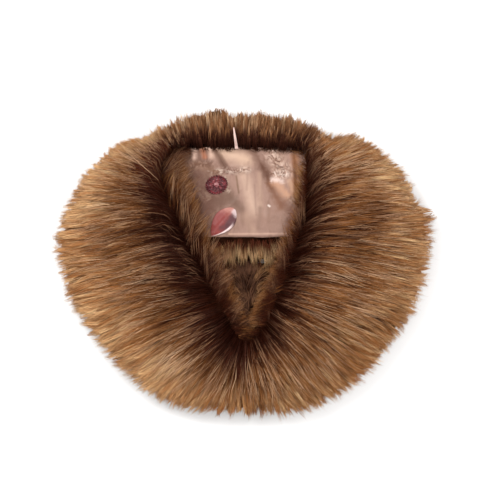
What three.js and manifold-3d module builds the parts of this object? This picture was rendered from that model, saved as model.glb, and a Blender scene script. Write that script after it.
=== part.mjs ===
// A fur collar wrap, laid on its back with the neck opening upwards: a band of long-pile
// fur cloth that goes round the neck, two fronts that lie over its ends and meet at the
// centre front, a satin neck lining, and a fur facing that shows in the point of the V.
// Millimetres. +X is the photograph's right, +Y runs from the hem to the back of the neck,
// and +Z is up. The origin is on the surface it lies on, under the middle of the wrap.
import * as THREE from 'three';
import { mergeVertices } from 'three/addons/utils/BufferGeometryUtils.js';
import Module from 'manifold-3d';

// Driving sizes
const SEAM = 0.4;            // air between two sewn or touching pieces
const HIDE_TOP = 18;         // knitted backing of the back band, over its flattened pile
const SATIN = 1;             // lining cloth
const HEM_TURN = 0.8;        // what the turned hem adds to the lining's thickness
const FOOT_TOP = 24;         // where the fronts' fur rolls in over the lining
const FLANK_BUMP = 5;        // how far the pile stands up inside the parting
const TIP_HEIGHT = 19;       // height of the outermost hair tips
const UNDERCUT = 0.17;       // share of the hair's reach that overhangs the surface
const CREST_AT = 0.36;       // share of the reach where the pile is deepest
const TUFTS_PER_ROW = 3;     // locks between two rows of the ring table
const SECTIONS_PER_ROW = 6;  // two for each lock: its point and the gap beside it
const TUFT_REACH = 8;        // how far a lock's point stands past the gap beside it
const TUFT_RELIEF = 3.2;     // height of a lock over the gap beside it
const TIER_RELIEF = 1.6;     // step from one tier of locks to the next
const TIERS = 3;             // tiers of locks from the parting to the tips

// The ring of fur, a row for each section, from the back of the neck round the left side
// to the centre front. part: where the hair parts, on the neckline. tip: where the hair
// ends. flank: how far the fur rolls in past the parting. cleft and crest: heights.
const LEFT_ROWS = [
  { name: 'neck_back',      partX: 2,    partY: 144,  tipX: 2,    tipY: 188,  flank: 3,  cleft: 24, crest: 36 },
  { name: 'neck_left',      partX: -44,  partY: 144,  tipX: -50,  tipY: 190,  flank: 3,  cleft: 24, crest: 37 },
  { name: 'corner_left',    partX: -88,  partY: 141,  tipX: -110, tipY: 171,  flank: 6,  cleft: 27, crest: 44 },
  { name: 'shoulder_top',   partX: -106, partY: 120,  tipX: -167, tipY: 143,  flank: 19, cleft: 31, crest: 54 },
  { name: 'shoulder_left',  partX: -103, partY: 92,   tipX: -210, tipY: 98,   flank: 26, cleft: 34, crest: 60 },
  { name: 'side_left',      partX: -90,  partY: 60,   tipX: -233, tipY: 44,   flank: 27, cleft: 35, crest: 63 },
  { name: 'side_left_low',  partX: -74,  partY: 22,   tipX: -236, tipY: -8,   flank: 26, cleft: 35, crest: 63 },
  { name: 'breast_left',    partX: -56,  partY: -12,  tipX: -219, tipY: -58,  flank: 24, cleft: 33, crest: 59 },
  { name: 'breast_low',     partX: -39,  partY: -45,  tipX: -184, tipY: -107, flank: 22, cleft: 31, crest: 55 },
  { name: 'hem_left_high',  partX: -24,  partY: -72,  tipX: -137, tipY: -158, flank: 17, cleft: 29, crest: 50 },
  { name: 'hem_left',       partX: -11,  partY: -94,  tipX: -74,  tipY: -187, flank: 9,  cleft: 28, crest: 47 },
  { name: 'centre_left',    partX: 2.3,  partY: -104, tipX: 2.3,  tipY: -193, flank: 3,  cleft: 27, crest: 44 },
];
const RIGHT_ROWS = [
  { name: 'neck_back',      partX: 2,    partY: 144,  tipX: 2,    tipY: 188,  flank: 3,  cleft: 24, crest: 36 },
  { name: 'neck_right',     partX: 40,   partY: 143,  tipX: 46,   tipY: 184,  flank: 3,  cleft: 24, crest: 37 },
  { name: 'corner_right',   partX: 74,   partY: 138,  tipX: 104,  tipY: 168,  flank: 5,  cleft: 27, crest: 44 },
  { name: 'shoulder_top',   partX: 81,   partY: 112,  tipX: 166,  tipY: 141,  flank: 8,  cleft: 31, crest: 54 },
  { name: 'shoulder_right', partX: 79,   partY: 84,   tipX: 208,  tipY: 103,  flank: 9,  cleft: 34, crest: 60 },
  { name: 'side_right',     partX: 75,   partY: 54,   tipX: 233,  tipY: 57,   flank: 10, cleft: 35, crest: 63 },
  { name: 'side_right_low', partX: 68,   partY: 24,   tipX: 235,  tipY: 8,    flank: 14, cleft: 35, crest: 63 },
  { name: 'breast_right',   partX: 57,   partY: -8,   tipX: 221,  tipY: -50,  flank: 20, cleft: 33, crest: 59 },
  { name: 'breast_low',     partX: 46,   partY: -39,  tipX: 186,  tipY: -103, flank: 21, cleft: 31, crest: 55 },
  { name: 'hem_right_high', partX: 34,   partY: -67,  tipX: 143,  tipY: -154, flank: 17, cleft: 29, crest: 50 },
  { name: 'hem_right',      partX: 19,   partY: -91,  tipX: 78,   tipY: -189, flank: 9,  cleft: 28, crest: 47 },
  { name: 'centre_right',   partX: 2.7,  partY: -104, tipX: 2.7,  tipY: -193, flank: 3,  cleft: 27, crest: 44 },
];
const CORNER_ROW = 2;        // the fronts start at the corner rows of both tables
const CORNER_GAP = 0.02;     // in rows: the seam between a front and the band's neck fringe

// The back band, under the fronts' upper ends and the lining. Its ends are rounded to stay
// under the fronts, and it widens into a fringe of pile below the lining.
const BAND = {
  halfWidth: 178, neckY: 146, endY: 92, roundFrom: 84, hemY: 28, fringeReach: 31, fringeTop: 15, fringeTip: 7,
  lockWidth: 11, steps: 32,
};

// The satin neck lining
const LINING = { left: -92, right: 82, hemY: 30, neckY: 140, columns: 28, rows: 16 };

// The lining's largest folds: soft ridges from one end to the other
const FOLDS = [
  { name: 'gather_1',      x0: -67, y0: 141, x1: -63, y1: 121, width: 3.5, height: 2.6 },
  { name: 'gather_2',      x0: -56, y0: 142, x1: -54, y1: 122, width: 3.5, height: 2.8 },
  { name: 'gather_3',      x0: -44, y0: 142, x1: -45, y1: 118, width: 4,   height: 2.6 },
  { name: 'neck_pleat',    x0: -36, y0: 140, x1: -20, y1: 113, width: 5,   height: 3.6 },
  { name: 'middle_swell',  x0: -4,  y0: 138, x1: 6,   y1: 42,  width: 15,  height: 2.8 },
  { name: 'slanted_fold',  x0: 16,  y0: 134, x1: 47,  y1: 74,  width: 6,   height: 4 },
  { name: 'pucker_fold',   x0: 34,  y0: 140, x1: 44,  y1: 100, width: 5,   height: 3.4 },
  { name: 'side_fold',     x0: 56,  y0: 141, x1: 62,  y1: 66,  width: 5,   height: 3.8 },
  { name: 'low_swell',     x0: 34,  y0: 66,  x1: 18,  y1: 36,  width: 9,   height: 2.2 },
  { name: 'cross_crinkle', x0: -18, y0: 113, x1: 8,   y1: 115, width: 3.5, height: 1.8 },
];

// The fur facing in the point of the V, a row for each section from the lining's hem down
const FACING_ROWS = [
  { name: 'under_fringe', y: 6,    left: -66, right: 63, edge: 5,  crown: 7 },
  { name: 'dip',          y: -13,  left: -58, right: 56, edge: 7,  crown: 11 },
  { name: 'rise',         y: -24,  left: -52, right: 51, edge: 9,  crown: 19 },
  { name: 'upper',        y: -38,  left: -44, right: 45, edge: 11, crown: 23 },
  { name: 'middle',       y: -54,  left: -34, right: 38, edge: 12, crown: 24 },
  { name: 'lower',        y: -70,  left: -25, right: 31, edge: 12, crown: 24 },
  { name: 'narrow',       y: -85,  left: -15, right: 21, edge: 12, crown: 24 },
  { name: 'point',        y: -98,  left: -6,  right: 10, edge: 12, crown: 22 },
];
const FACING_RUFFLE = 1.2;   // how uneven its fur is

// The two patches on the lining, and the hanging loop at its neck edge
const ROSETTE = { x: -36, y: 96, long: 27, short: 22.5, tilt: 0.3, height: 1.1, relief: 0.9, petals: 9 };
const PETAL = { x0: -43, y0: 31.5, x1: -13, y1: 66, halfWidth: 13.2, height: 1.1, crown: 2.6, rim: 0.9 };
const LOOP = { x: -10.5, neckY: 141, lean: -3.5, length: 25, width: 4.2, tipWidth: 2.6, cloth: 0.8, apart: 1.5 };

// Numbers between 0 and 1 that look random and are the same each time.
function scatter(n) {
  const s = Math.sin(n * 12.9898 + 4.1414) * 43758.5453;
  return s - Math.floor(s);
}

function smooth(from, to, x) {
  const t = Math.min(1, Math.max(0, (x - from) / (to - from)));
  return t * t * (3 - 2 * t);
}

// A curve through the values of three columns, one point for each row.
function columnCurve(rows, a, b, c) {
  return new THREE.CatmullRomCurve3(rows.map((r) => new THREE.Vector3(r[a], r[b], r[c])));
}

// A half ring of fur. at(row) gives the parting, the tips and the heights at a fractional row.
class FurRing {
  constructor(rows, seed) {
    this.last = rows.length - 1;
    this.seed = seed;
    this.parting = columnCurve(rows, 'partX', 'partY', 'cleft');
    this.tips = columnCurve(rows, 'tipX', 'tipY', 'crest');
    this.flanks = columnCurve(rows, 'flank', 'flank', 'flank');
  }

  at(row) {
    const t = row / this.last;
    const parting = this.parting.getPoint(t);
    const tip = this.tips.getPoint(t);
    const along = new THREE.Vector2(tip.x - parting.x, tip.y - parting.y);
    const reach = along.length();
    along.normalize();
    return { parting, along, reach, cleft: parting.z, crest: tip.z, flank: this.flanks.getPoint(t).x };
  }

  // From 0 in the gap between two locks to 1 on a lock's point, less on a small lock.
  lock(row) {
    const phase = row * TUFTS_PER_ROW;
    const size = 0.55 + 0.45 * scatter(Math.floor(phase) + this.seed);
    const ends = smooth(0, 0.5, this.last - row);
    return ends * size * (1 - 2 * Math.abs(phase - Math.floor(phase) - 0.5));
  }

  // Height of the fur's surface, where share runs from the parting, 0, to the tips, 1.
  height(section, row, share) {
    const rise = Math.sin((Math.PI / 2) * Math.min(1, share / CREST_AT)) ** 0.8;
    const fall = Math.max(0, (share - CREST_AT) / (1 - CREST_AT));
    const crown = share < CREST_AT
      ? section.cleft + (section.crest - section.cleft) * rise
      : TIP_HEIGHT + (section.crest - TIP_HEIGHT) * Math.sqrt(Math.max(0, 1 - fall ** 2.3));
    const tier = share * TIERS + 0.5 * scatter(Math.floor(row * TUFTS_PER_ROW) + this.seed + 7);
    const relief = TUFT_RELIEF * (this.lock(row) - 0.4) + TIER_RELIEF * (tier - Math.floor(tier) - 0.5);
    return crown + relief * smooth(0.04, 0.3, share) * smooth(1, 0.85, share);
  }

  // The closed outline of one section, from the foot over the top to the tips and back.
  section(row) {
    const s = this.at(row);
    const points = [];
    const put = (distance, z) => points.push(new THREE.Vector3(
      s.parting.x + s.along.x * distance, s.parting.y + s.along.y * distance, z));
    put(-s.flank, 0);
    for (const share of [1, 0.7, 0.38, 0.12]) {
      const roll = s.cleft + (FOOT_TOP - s.cleft) * smooth(0, 1, share);
      put(-s.flank * share, roll + FLANK_BUMP * smooth(0, 12, s.flank) * Math.sin(Math.PI * share));
    }
    const reach = s.reach + TUFT_REACH * (this.lock(row) - 0.6);
    for (const share of [0, 0.05, 0.12, 0.22, 0.34, 0.46, 0.58, 0.7, 0.8, 0.88, 0.94, 0.98]) {
      put(reach * share, this.height(s, row, share));
    }
    put(reach, TIP_HEIGHT);
    for (const [share, z] of [[0.25, 0.55], [0.65, 0.18], [1, 0]]) {
      put(reach * (1 - UNDERCUT * share), TIP_HEIGHT * z);
    }
    put(reach * 0.4, 0);
    return points;
  }

  solid(from, to) {
    const count = Math.round((to - from) * SECTIONS_PER_ROW);
    return loft(Array.from({ length: count + 1 }, (_, i) => this.section(from + ((to - from) * i) / count)));
  }
}

// A closed body through sections with the same number of points, with flat ends.
function loft(sections) {
  const around = sections[0].length;
  const positions = sections.flat().flatMap((p) => [p.x, p.y, p.z]);
  const faces = [];
  for (let i = 0; i + 1 < sections.length; i += 1) {
    for (let j = 0; j < around; j += 1) {
      const a = i * around + j;
      const b = i * around + ((j + 1) % around);
      faces.push(a, b, b + around, a, b + around, a + around);
    }
  }
  capFaces(sections[0]).forEach(([a, b, c]) => faces.push(a, c, b));
  const start = (sections.length - 1) * around;
  capFaces(sections.at(-1)).forEach(([a, b, c]) => faces.push(start + a, start + b, start + c));
  return outward(positions, faces);
}

// The triangles of a section's flat end, turned as the section runs.
function capFaces(section) {
  const origin = section[0];
  const across = new THREE.Vector3();
  for (const p of section) {
    const d = p.clone().sub(origin);
    d.z = 0;
    if (d.length() > across.length()) across.copy(d);
  }
  across.normalize();
  const flat = section.map((p) => new THREE.Vector2(p.clone().sub(origin).dot(across), p.z));
  const turned = THREE.ShapeUtils.isClockWise(flat);
  return THREE.ShapeUtils.triangulateShape(turned ? [...flat].reverse() : flat, []).map((face) => {
    const f = turned ? face.map((i) => flat.length - 1 - i).reverse() : face;
    return [f[0], f[1], f[2]];
  });
}

// A geometry whose faces point out, whichever way its sections ran.
function outward(positions, faces) {
  let volume = 0;
  const at = (i) => new THREE.Vector3().fromArray(positions, 3 * i);
  for (let i = 0; i < faces.length; i += 3) {
    volume += at(faces[i]).dot(at(faces[i + 1]).cross(at(faces[i + 2])));
  }
  const index = volume < 0 ? [...faces].reverse() : faces;
  const geometry = new THREE.BufferGeometry();
  geometry.setAttribute('position', new THREE.Float32BufferAttribute(positions, 3));
  geometry.setIndex(index);
  return geometry;
}

// A wall between two surfaces over the same grid, closed at its edges.
function wall(columns, rows, lower, upper) {
  const positions = [];
  for (const surface of [lower, upper]) {
    for (let j = 0; j <= rows; j += 1) {
      for (let i = 0; i <= columns; i += 1) positions.push(...surface(i / columns, j / rows));
    }
  }
  const layer = (columns + 1) * (rows + 1);
  const at = (i, j, top) => j * (columns + 1) + i + (top ? layer : 0);
  const faces = [];
  const quad = (a, b, c, d) => faces.push(a, b, c, a, c, d);
  for (let j = 0; j < rows; j += 1) {
    for (let i = 0; i < columns; i += 1) {
      quad(at(i, j, true), at(i + 1, j, true), at(i + 1, j + 1, true), at(i, j + 1, true));
      quad(at(i, j), at(i, j + 1), at(i + 1, j + 1), at(i + 1, j));
    }
  }
  for (let i = 0; i < columns; i += 1) {
    quad(at(i, 0), at(i + 1, 0), at(i + 1, 0, true), at(i, 0, true));
    quad(at(i + 1, rows), at(i, rows), at(i, rows, true), at(i + 1, rows, true));
  }
  for (let j = 0; j < rows; j += 1) {
    quad(at(0, j + 1), at(0, j), at(0, j, true), at(0, j + 1, true));
    quad(at(columns, j), at(columns, j + 1), at(columns, j + 1, true), at(columns, j, true));
  }
  return outward(positions, faces);
}

// The band's section at one place across: flattened pile, the backing on it, and the hem fringe.
function bandSection(x, grow) {
  const lock = grow ? 0 : Math.abs(((Math.abs(x) / BAND.lockWidth) % 2) - 1) * TUFT_REACH * 0.5;
  const tip = BAND.hemY - BAND.fringeReach + lock - grow;
  const top = HIDE_TOP + grow;
  const round = Math.max(0, (Math.abs(x) - BAND.roundFrom) / (BAND.halfWidth + grow - BAND.roundFrom));
  const neck = BAND.neckY - (BAND.neckY - BAND.endY) * (1 - Math.sqrt(Math.max(0, 1 - round ** 2))) + grow;
  return [
    [neck, 0], [neck, top], [BAND.hemY - grow, top],
    [BAND.hemY - 7, BAND.fringeTop + grow], [tip + 9, BAND.fringeTip + 4 + grow], [tip, BAND.fringeTip + grow],
    [tip + 1, 2], [tip + 2.5, 0],
  ].map(([y, z]) => new THREE.Vector3(x, y, z));
}

function bandBody(grow = 0) {
  const half = BAND.halfWidth + grow;
  return loft(Array.from({ length: BAND.steps + 1 }, (_, i) => (
    bandSection(-half + (2 * half * i) / BAND.steps, grow))));
}

// How far the lining is lifted off the backing by its folds.
function liningLift(x, y) {
  let lift = 0;
  for (const fold of FOLDS) {
    const dx = fold.x1 - fold.x0;
    const dy = fold.y1 - fold.y0;
    const along = ((x - fold.x0) * dx + (y - fold.y0) * dy) / (dx * dx + dy * dy);
    const aside = Math.abs((x - fold.x0) * dy - (y - fold.y0) * dx) / Math.hypot(dx, dy);
    const ends = smooth(-0.15, 0.15, along) * smooth(1.2, 0.7, along);
    lift += fold.height * ends * Math.exp(-((aside / fold.width) ** 2));
  }
  const held = smooth(LINING.left + 8, LINING.left + 26, x) * smooth(LINING.right - 4, LINING.right - 18, x);
  return lift * held * smooth(LINING.hemY, LINING.hemY + 7, y);
}

function liningTop(x, y) {
  const hem = HEM_TURN * smooth(LINING.hemY + 7, LINING.hemY + 5, y);
  return HIDE_TOP + SEAM + liningLift(x, y) + SATIN + hem;
}

// Height at which a patch lies on the lining, whose cloth is straight between its grid's corners.
function onLining(x, y) {
  const u = ((x - LINING.left) / (LINING.right - LINING.left)) * LINING.columns;
  const v = ((y - LINING.hemY) / (LINING.neckY - LINING.hemY)) * LINING.rows;
  const corner = (i, j) => liningTop(
    LINING.left + ((LINING.right - LINING.left) * i) / LINING.columns,
    LINING.hemY + ((LINING.neckY - LINING.hemY) * j) / LINING.rows);
  const [i, j] = [Math.floor(u), Math.floor(v)];
  const near = corner(i, j) + (corner(i + 1, j) - corner(i, j)) * (u - i);
  const far = corner(i, j + 1) + (corner(i + 1, j + 1) - corner(i, j + 1)) * (u - i);
  return near + (far - near) * (v - j) + SEAM;
}

function liningBody() {
  const place = (u, v) => [
    LINING.left + (LINING.right - LINING.left) * u, LINING.hemY + (LINING.neckY - LINING.hemY) * v];
  return wall(LINING.columns, LINING.rows,
    (u, v) => { const [x, y] = place(u, v); return [x, y, HIDE_TOP + SEAM + liningLift(x, y)]; },
    (u, v) => { const [x, y] = place(u, v); return [x, y, liningTop(x, y)]; });
}

// What the fronts keep clear of along the lining's edges, where it lies flat.
function liningClearance() {
  const x0 = LINING.left - SEAM;
  const x1 = LINING.right + SEAM;
  const y0 = LINING.hemY - SEAM;
  const y1 = LINING.neckY + SEAM;
  const top = (x, y) => liningTop(Math.min(LINING.right, Math.max(LINING.left, x)), y) + SEAM;
  return wall(LINING.columns, LINING.rows,
    (u, v) => [x0 + (x1 - x0) * u, y0 + (y1 - y0) * v, HIDE_TOP],
    (u, v) => { const x = x0 + (x1 - x0) * u; const y = y0 + (y1 - y0) * v; return [x, y, top(x, y)]; });
}

function facingBody(grow = 0) {
  const span = columnCurve(FACING_ROWS, 'left', 'right', 'y');
  const rise = columnCurve(FACING_ROWS, 'edge', 'crown', 'y');
  const steps = 16;
  return loft(Array.from({ length: steps + 1 }, (_, i) => {
    const at = span.getPoint(i / steps);
    const high = rise.getPoint(i / steps);
    const y = at.z + (i === 0 ? grow : 0) - (i === steps ? grow : 0);
    const left = at.x - grow;
    const right = at.y + grow;
    const points = [];
    for (let j = 0; j <= 10; j += 1) {
      const u = -1 + j / 5;
      const uneven = FACING_RUFFLE * (grow ? 0.5 : scatter(i * 11 + j) - 0.5);
      const z = high.x + (high.y - high.x) * (1 - Math.abs(u) ** 2.2) + grow + uneven;
      points.push(new THREE.Vector3((left + right) / 2 + (u * (right - left)) / 2, y, z));
    }
    points.push(new THREE.Vector3(right, y, 0), new THREE.Vector3(left, y, 0));
    return points;
  }));
}

// A rosette of raised petals round a button centre, on the lining.
function rosetteBody() {
  const rings = [0, 0.22, 0.42, 0.62, 0.82, 1];
  const sectors = 36;
  const sections = Array.from({ length: sectors }, (_, k) => {
    const a = (2 * Math.PI * k) / sectors;
    return rings.map((r) => {
      const long = (ROSETTE.long / 2) * r * Math.cos(a);
      const short = (ROSETTE.short / 2) * r * Math.sin(a);
      const petal = Math.abs(Math.sin((ROSETTE.petals / 2) * a + 5 * r));
      const rise = ROSETTE.height * (r > 0.9 ? 0.75 : 1) + (r > 0.1 && r < 0.9 ? ROSETTE.relief * petal : 0.5);
      const x = ROSETTE.x + long * Math.cos(ROSETTE.tilt) - short * Math.sin(ROSETTE.tilt);
      const y = ROSETTE.y + long * Math.sin(ROSETTE.tilt) + short * Math.cos(ROSETTE.tilt);
      return [x, y, onLining(x, y) + rise];
    });
  });
  const positions = [ROSETTE.x, ROSETTE.y, onLining(ROSETTE.x, ROSETTE.y), ...sections[0][0]];
  const faces = [];
  const per = rings.length - 1;
  sections.forEach((ring) => {
    for (let i = 1; i <= per; i += 1) positions.push(...ring[i]);
    const [x, y] = ring[per];
    positions.push(x, y, onLining(x, y));
  });
  const at = (k, i) => 2 + (k % sectors) * (per + 1) + i - 1;
  for (let k = 0; k < sectors; k += 1) {
    faces.push(1, at(k, 1), at(k + 1, 1));
    for (let i = 1; i <= per; i += 1) {
      faces.push(at(k, i), at(k, i + 1), at(k + 1, i + 1), at(k, i), at(k + 1, i + 1), at(k + 1, i));
    }
    faces.push(0, at(k + 1, per + 1), at(k, per + 1));
  }
  return outward(positions, faces);
}

// A pointed satin petal with a crowned middle and a turned rim on its lower edge.
function petalBody() {
  const dx = PETAL.x1 - PETAL.x0;
  const dy = PETAL.y1 - PETAL.y0;
  const long = Math.hypot(dx, dy);
  const normal = [dy / long, -dx / long];
  const outline = (v) => PETAL.halfWidth * Math.sin(Math.PI * Math.min(1, v ** 1.25)) ** 0.62;
  const place = (u, v) => {
    const aside = outline(v) * (2 * u - 1);
    return [PETAL.x0 + dx * v + normal[0] * aside, PETAL.y0 + dy * v + normal[1] * aside];
  };
  const near = 0.03;
  const steps = 12;
  const across = [0, 0.12, 0.3, 0.5, 0.7, 0.85, 1];
  return loft(Array.from({ length: steps + 1 }, (_, k) => {
    const v = near + ((1 - 2 * near) * k) / steps;
    const point = (u, rise) => {
      const [x, y] = place(u, v);
      return new THREE.Vector3(x, y, onLining(x, y) + rise);
    };
    const top = across.map((u) => {
      const crown = PETAL.crown * Math.sin(Math.PI * u) * Math.sin(Math.PI * v);
      return point(u, PETAL.height + crown + PETAL.rim * smooth(0.8, 0.86, u));
    });
    return [...top, ...across.map((u) => point(u, 0)).reverse()];
  }));
}

// A narrow ribbon doubled back on itself, standing up from the neck edge over the fringe.
function loopBody(ring) {
  const clear = (x, distance) => Math.max(...[-0.5, 0, 0.5].map((side) => {
    const row = (LEFT_ROWS[0].partX - x - side * LOOP.width) / (LEFT_ROWS[0].partX - LEFT_ROWS[1].partX);
    const neck = ring.at(row);
    const share = Math.max(0, (distance - (neck.parting.y - LOOP.neckY)) / neck.reach);
    return Math.max(FOOT_TOP, ring.height(neck, row, share));
  })) + SEAM + LOOP.cloth;
  const steps = 12;
  const leg = (side) => Array.from({ length: steps + 1 }, (_, i) => {
    const d = (LOOP.length * i) / steps;
    const x = LOOP.x + (LOOP.lean * i) / steps;
    return { x, y: LOOP.neckY + d, z: clear(x, d) + side * (LOOP.apart + LOOP.cloth), i };
  });
  const path = [...leg(0), ...leg(1).reverse()];
  return loft(path.map((p, k) => {
    const before = path[Math.max(0, k - 1)];
    const after = path[Math.min(path.length - 1, k + 1)];
    const dy = after.y - before.y;
    const dz = after.z - before.z;
    const size = Math.hypot(dy, dz);
    const [ny, nz] = [(-dz / size) * (LOOP.cloth / 2), (dy / size) * (LOOP.cloth / 2)];
    const half = (LOOP.width + (LOOP.tipWidth - LOOP.width) * (p.i / steps)) / 2;
    return [[-half, -1], [half, -1], [half, 1], [-half, 1]].map(([w, n]) => (
      new THREE.Vector3(p.x + w, p.y + n * ny, p.z + n * nz)));
  }));
}

const wasm = await Module();
wasm.setup();

function toSolid(geometry) {
  const bare = mergeVertices(geometry, 1e-3);
  return new wasm.Manifold(new wasm.Mesh({
    numProp: 3,
    vertProperties: bare.attributes.position.array,
    triVerts: new Uint32Array(bare.index.array),
  }));
}

function fromSolid(solid) {
  const mesh = solid.getMesh();
  const geometry = new THREE.BufferGeometry();
  geometry.setAttribute('position', new THREE.BufferAttribute(mesh.vertProperties, 3));
  geometry.setIndex(new THREE.BufferAttribute(mesh.triVerts, 1));
  return geometry;
}

const leftRing = new FurRing(LEFT_ROWS, 3);
const rightRing = new FurRing(RIGHT_ROWS, 57);

// The back band joins the fringe that stands up round the back of the neck.
const backFur = toSolid(bandBody())
  .add(toSolid(leftRing.solid(0, CORNER_ROW)))
  .add(toSolid(rightRing.solid(0, CORNER_ROW)))
  .subtract(toSolid(liningClearance()));

// Each front lies over the band's end, the lining's edge and the facing.
const bandClearance = toSolid(bandBody(SEAM));
const underFronts = bandClearance.add(toSolid(liningClearance())).add(toSolid(facingBody(SEAM)));
function front(ring) {
  return toSolid(ring.solid(CORNER_ROW + CORNER_GAP, ring.last)).subtract(underFronts);
}

const FUR = new THREE.MeshStandardMaterial({ color: 0x7a5234, roughness: 0.75, metalness: 0 });
const DARK_FUR = new THREE.MeshStandardMaterial({ color: 0x563726, roughness: 0.8, metalness: 0 });
const COPPER_SATIN = new THREE.MeshStandardMaterial({ color: 0xc79c8a, roughness: 0.32, metalness: 0 });
const WINE_THREAD = new THREE.MeshStandardMaterial({ color: 0x6e2a34, roughness: 0.5, metalness: 0 });
const ROSE_SATIN = new THREE.MeshStandardMaterial({ color: 0xa85450, roughness: 0.3, metalness: 0 });
const PALE_RIBBON = new THREE.MeshStandardMaterial({ color: 0xd9c4ba, roughness: 0.4, metalness: 0 });

const wrap = new THREE.Group();
function addPiece(name, geometry, material) {
  const mesh = new THREE.Mesh(geometry, material);
  mesh.name = name;
  wrap.add(mesh);
}

addPiece('back_band_fur', fromSolid(backFur), FUR);
addPiece('left_front_fur', fromSolid(front(leftRing)), FUR);
addPiece('right_front_fur', fromSolid(front(rightRing)), FUR);
addPiece('neck_facing_fur', fromSolid(toSolid(facingBody()).subtract(bandClearance)), DARK_FUR);
addPiece('satin_lining', liningBody(), COPPER_SATIN);
addPiece('rosette_patch', rosetteBody(), WINE_THREAD);
addPiece('petal_patch', petalBody(), ROSE_SATIN);
addPiece('hanging_loop', loopBody(leftRing), PALE_RIBBON);

export default wrap;
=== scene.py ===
"""Looks of a fur collar wrap that lies on its back with the neck opening upwards.

The solids come from the frame. Each fur solid gets an underfur body and a coat of separate
hairs, the satin lining gets its gathers, folds and puckers, and the rosette, the petal and
the hanging loop get their stitching and sheen. Tables are in millimetres, as on a pattern
sheet, and meshes are made in metres.
"""
import logging
import math
from dataclasses import dataclass
from enum import Enum

import bmesh
import bpy
import numpy as np
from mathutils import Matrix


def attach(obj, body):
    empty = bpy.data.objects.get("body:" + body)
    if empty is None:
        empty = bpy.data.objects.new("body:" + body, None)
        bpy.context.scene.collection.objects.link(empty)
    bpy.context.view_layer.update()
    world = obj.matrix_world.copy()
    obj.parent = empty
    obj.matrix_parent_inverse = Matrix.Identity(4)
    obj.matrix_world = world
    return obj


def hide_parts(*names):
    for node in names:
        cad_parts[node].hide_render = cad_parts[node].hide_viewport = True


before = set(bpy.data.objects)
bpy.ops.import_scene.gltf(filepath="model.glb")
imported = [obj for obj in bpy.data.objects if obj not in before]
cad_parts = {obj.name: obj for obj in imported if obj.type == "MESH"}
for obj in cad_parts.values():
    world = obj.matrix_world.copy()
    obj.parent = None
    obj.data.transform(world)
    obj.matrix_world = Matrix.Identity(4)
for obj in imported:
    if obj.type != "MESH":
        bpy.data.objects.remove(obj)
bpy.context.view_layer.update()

LOG = logging.getLogger("collar_wrap")
MM = 0.001
STEPS = 4           # points along a hair, from its root to its tip
Color = tuple[float, float, float]
VALUE, VECTOR, COLOUR = "NodeSocketFloat", "NodeSocketVector", "NodeSocketColor"
HAIR_SHADES = ("Root dark", "Root light", "Tip dark", "Tip mid", "Tip light")


class Side(Enum):
    """The two halves of the wrap, as they lie in the photograph."""

    LEFT = "left"
    RIGHT = "right"


class Weave(Enum):
    """Cloths that show a weave, with the threads in a millimetre."""

    SATIN = 3.2
    RIBBON = 2.2


@dataclass(frozen=True)
class FurRow:
    """One section of the ring of fur, in millimetres."""

    name: str
    part: tuple[float, float]
    tip: tuple[float, float]
    flank: float
    cleft: float
    crest: float


RING_ROWS = {
    Side.LEFT: [
        FurRow("neck_back", (2, 144), (2, 188), 3, 24, 36),
        FurRow("neck_left", (-44, 144), (-50, 190), 3, 24, 37),
        FurRow("corner_left", (-88, 141), (-110, 171), 6, 27, 44),
        FurRow("shoulder_top", (-106, 120), (-167, 143), 19, 31, 54),
        FurRow("shoulder_left", (-103, 92), (-210, 98), 26, 34, 60),
        FurRow("side_left", (-90, 60), (-233, 44), 27, 35, 63),
        FurRow("side_left_low", (-74, 22), (-236, -8), 26, 35, 63),
        FurRow("breast_left", (-56, -12), (-219, -58), 24, 33, 59),
        FurRow("breast_low", (-39, -45), (-184, -107), 22, 31, 55),
        FurRow("hem_left_high", (-24, -72), (-137, -158), 17, 29, 50),
        FurRow("hem_left", (-11, -94), (-74, -187), 9, 28, 47),
        FurRow("centre_left", (2.3, -104), (2.3, -193), 3, 27, 44),
    ],
    Side.RIGHT: [
        FurRow("neck_back", (2, 144), (2, 188), 3, 24, 36),
        FurRow("neck_right", (40, 143), (46, 184), 3, 24, 37),
        FurRow("corner_right", (74, 138), (104, 168), 5, 27, 44),
        FurRow("shoulder_top", (81, 112), (166, 141), 8, 31, 54),
        FurRow("shoulder_right", (79, 84), (208, 103), 9, 34, 60),
        FurRow("side_right", (75, 54), (233, 57), 10, 35, 63),
        FurRow("side_right_low", (68, 24), (235, 8), 14, 35, 63),
        FurRow("breast_right", (57, -8), (221, -50), 20, 33, 59),
        FurRow("breast_low", (46, -39), (186, -103), 21, 31, 55),
        FurRow("hem_right_high", (34, -67), (143, -154), 17, 29, 50),
        FurRow("hem_right", (19, -91), (78, -189), 9, 28, 47),
        FurRow("centre_right", (2.7, -104), (2.7, -193), 3, 27, 44),
    ],
}
CORNER_ROW = 2.0    # the row at which the band ends and a front starts


@dataclass(frozen=True)
class ToneSpot:
    """A patch of the coat that is darker or lighter, in millimetres."""

    centre: tuple[float, float]
    radius: float
    tone: float


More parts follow.
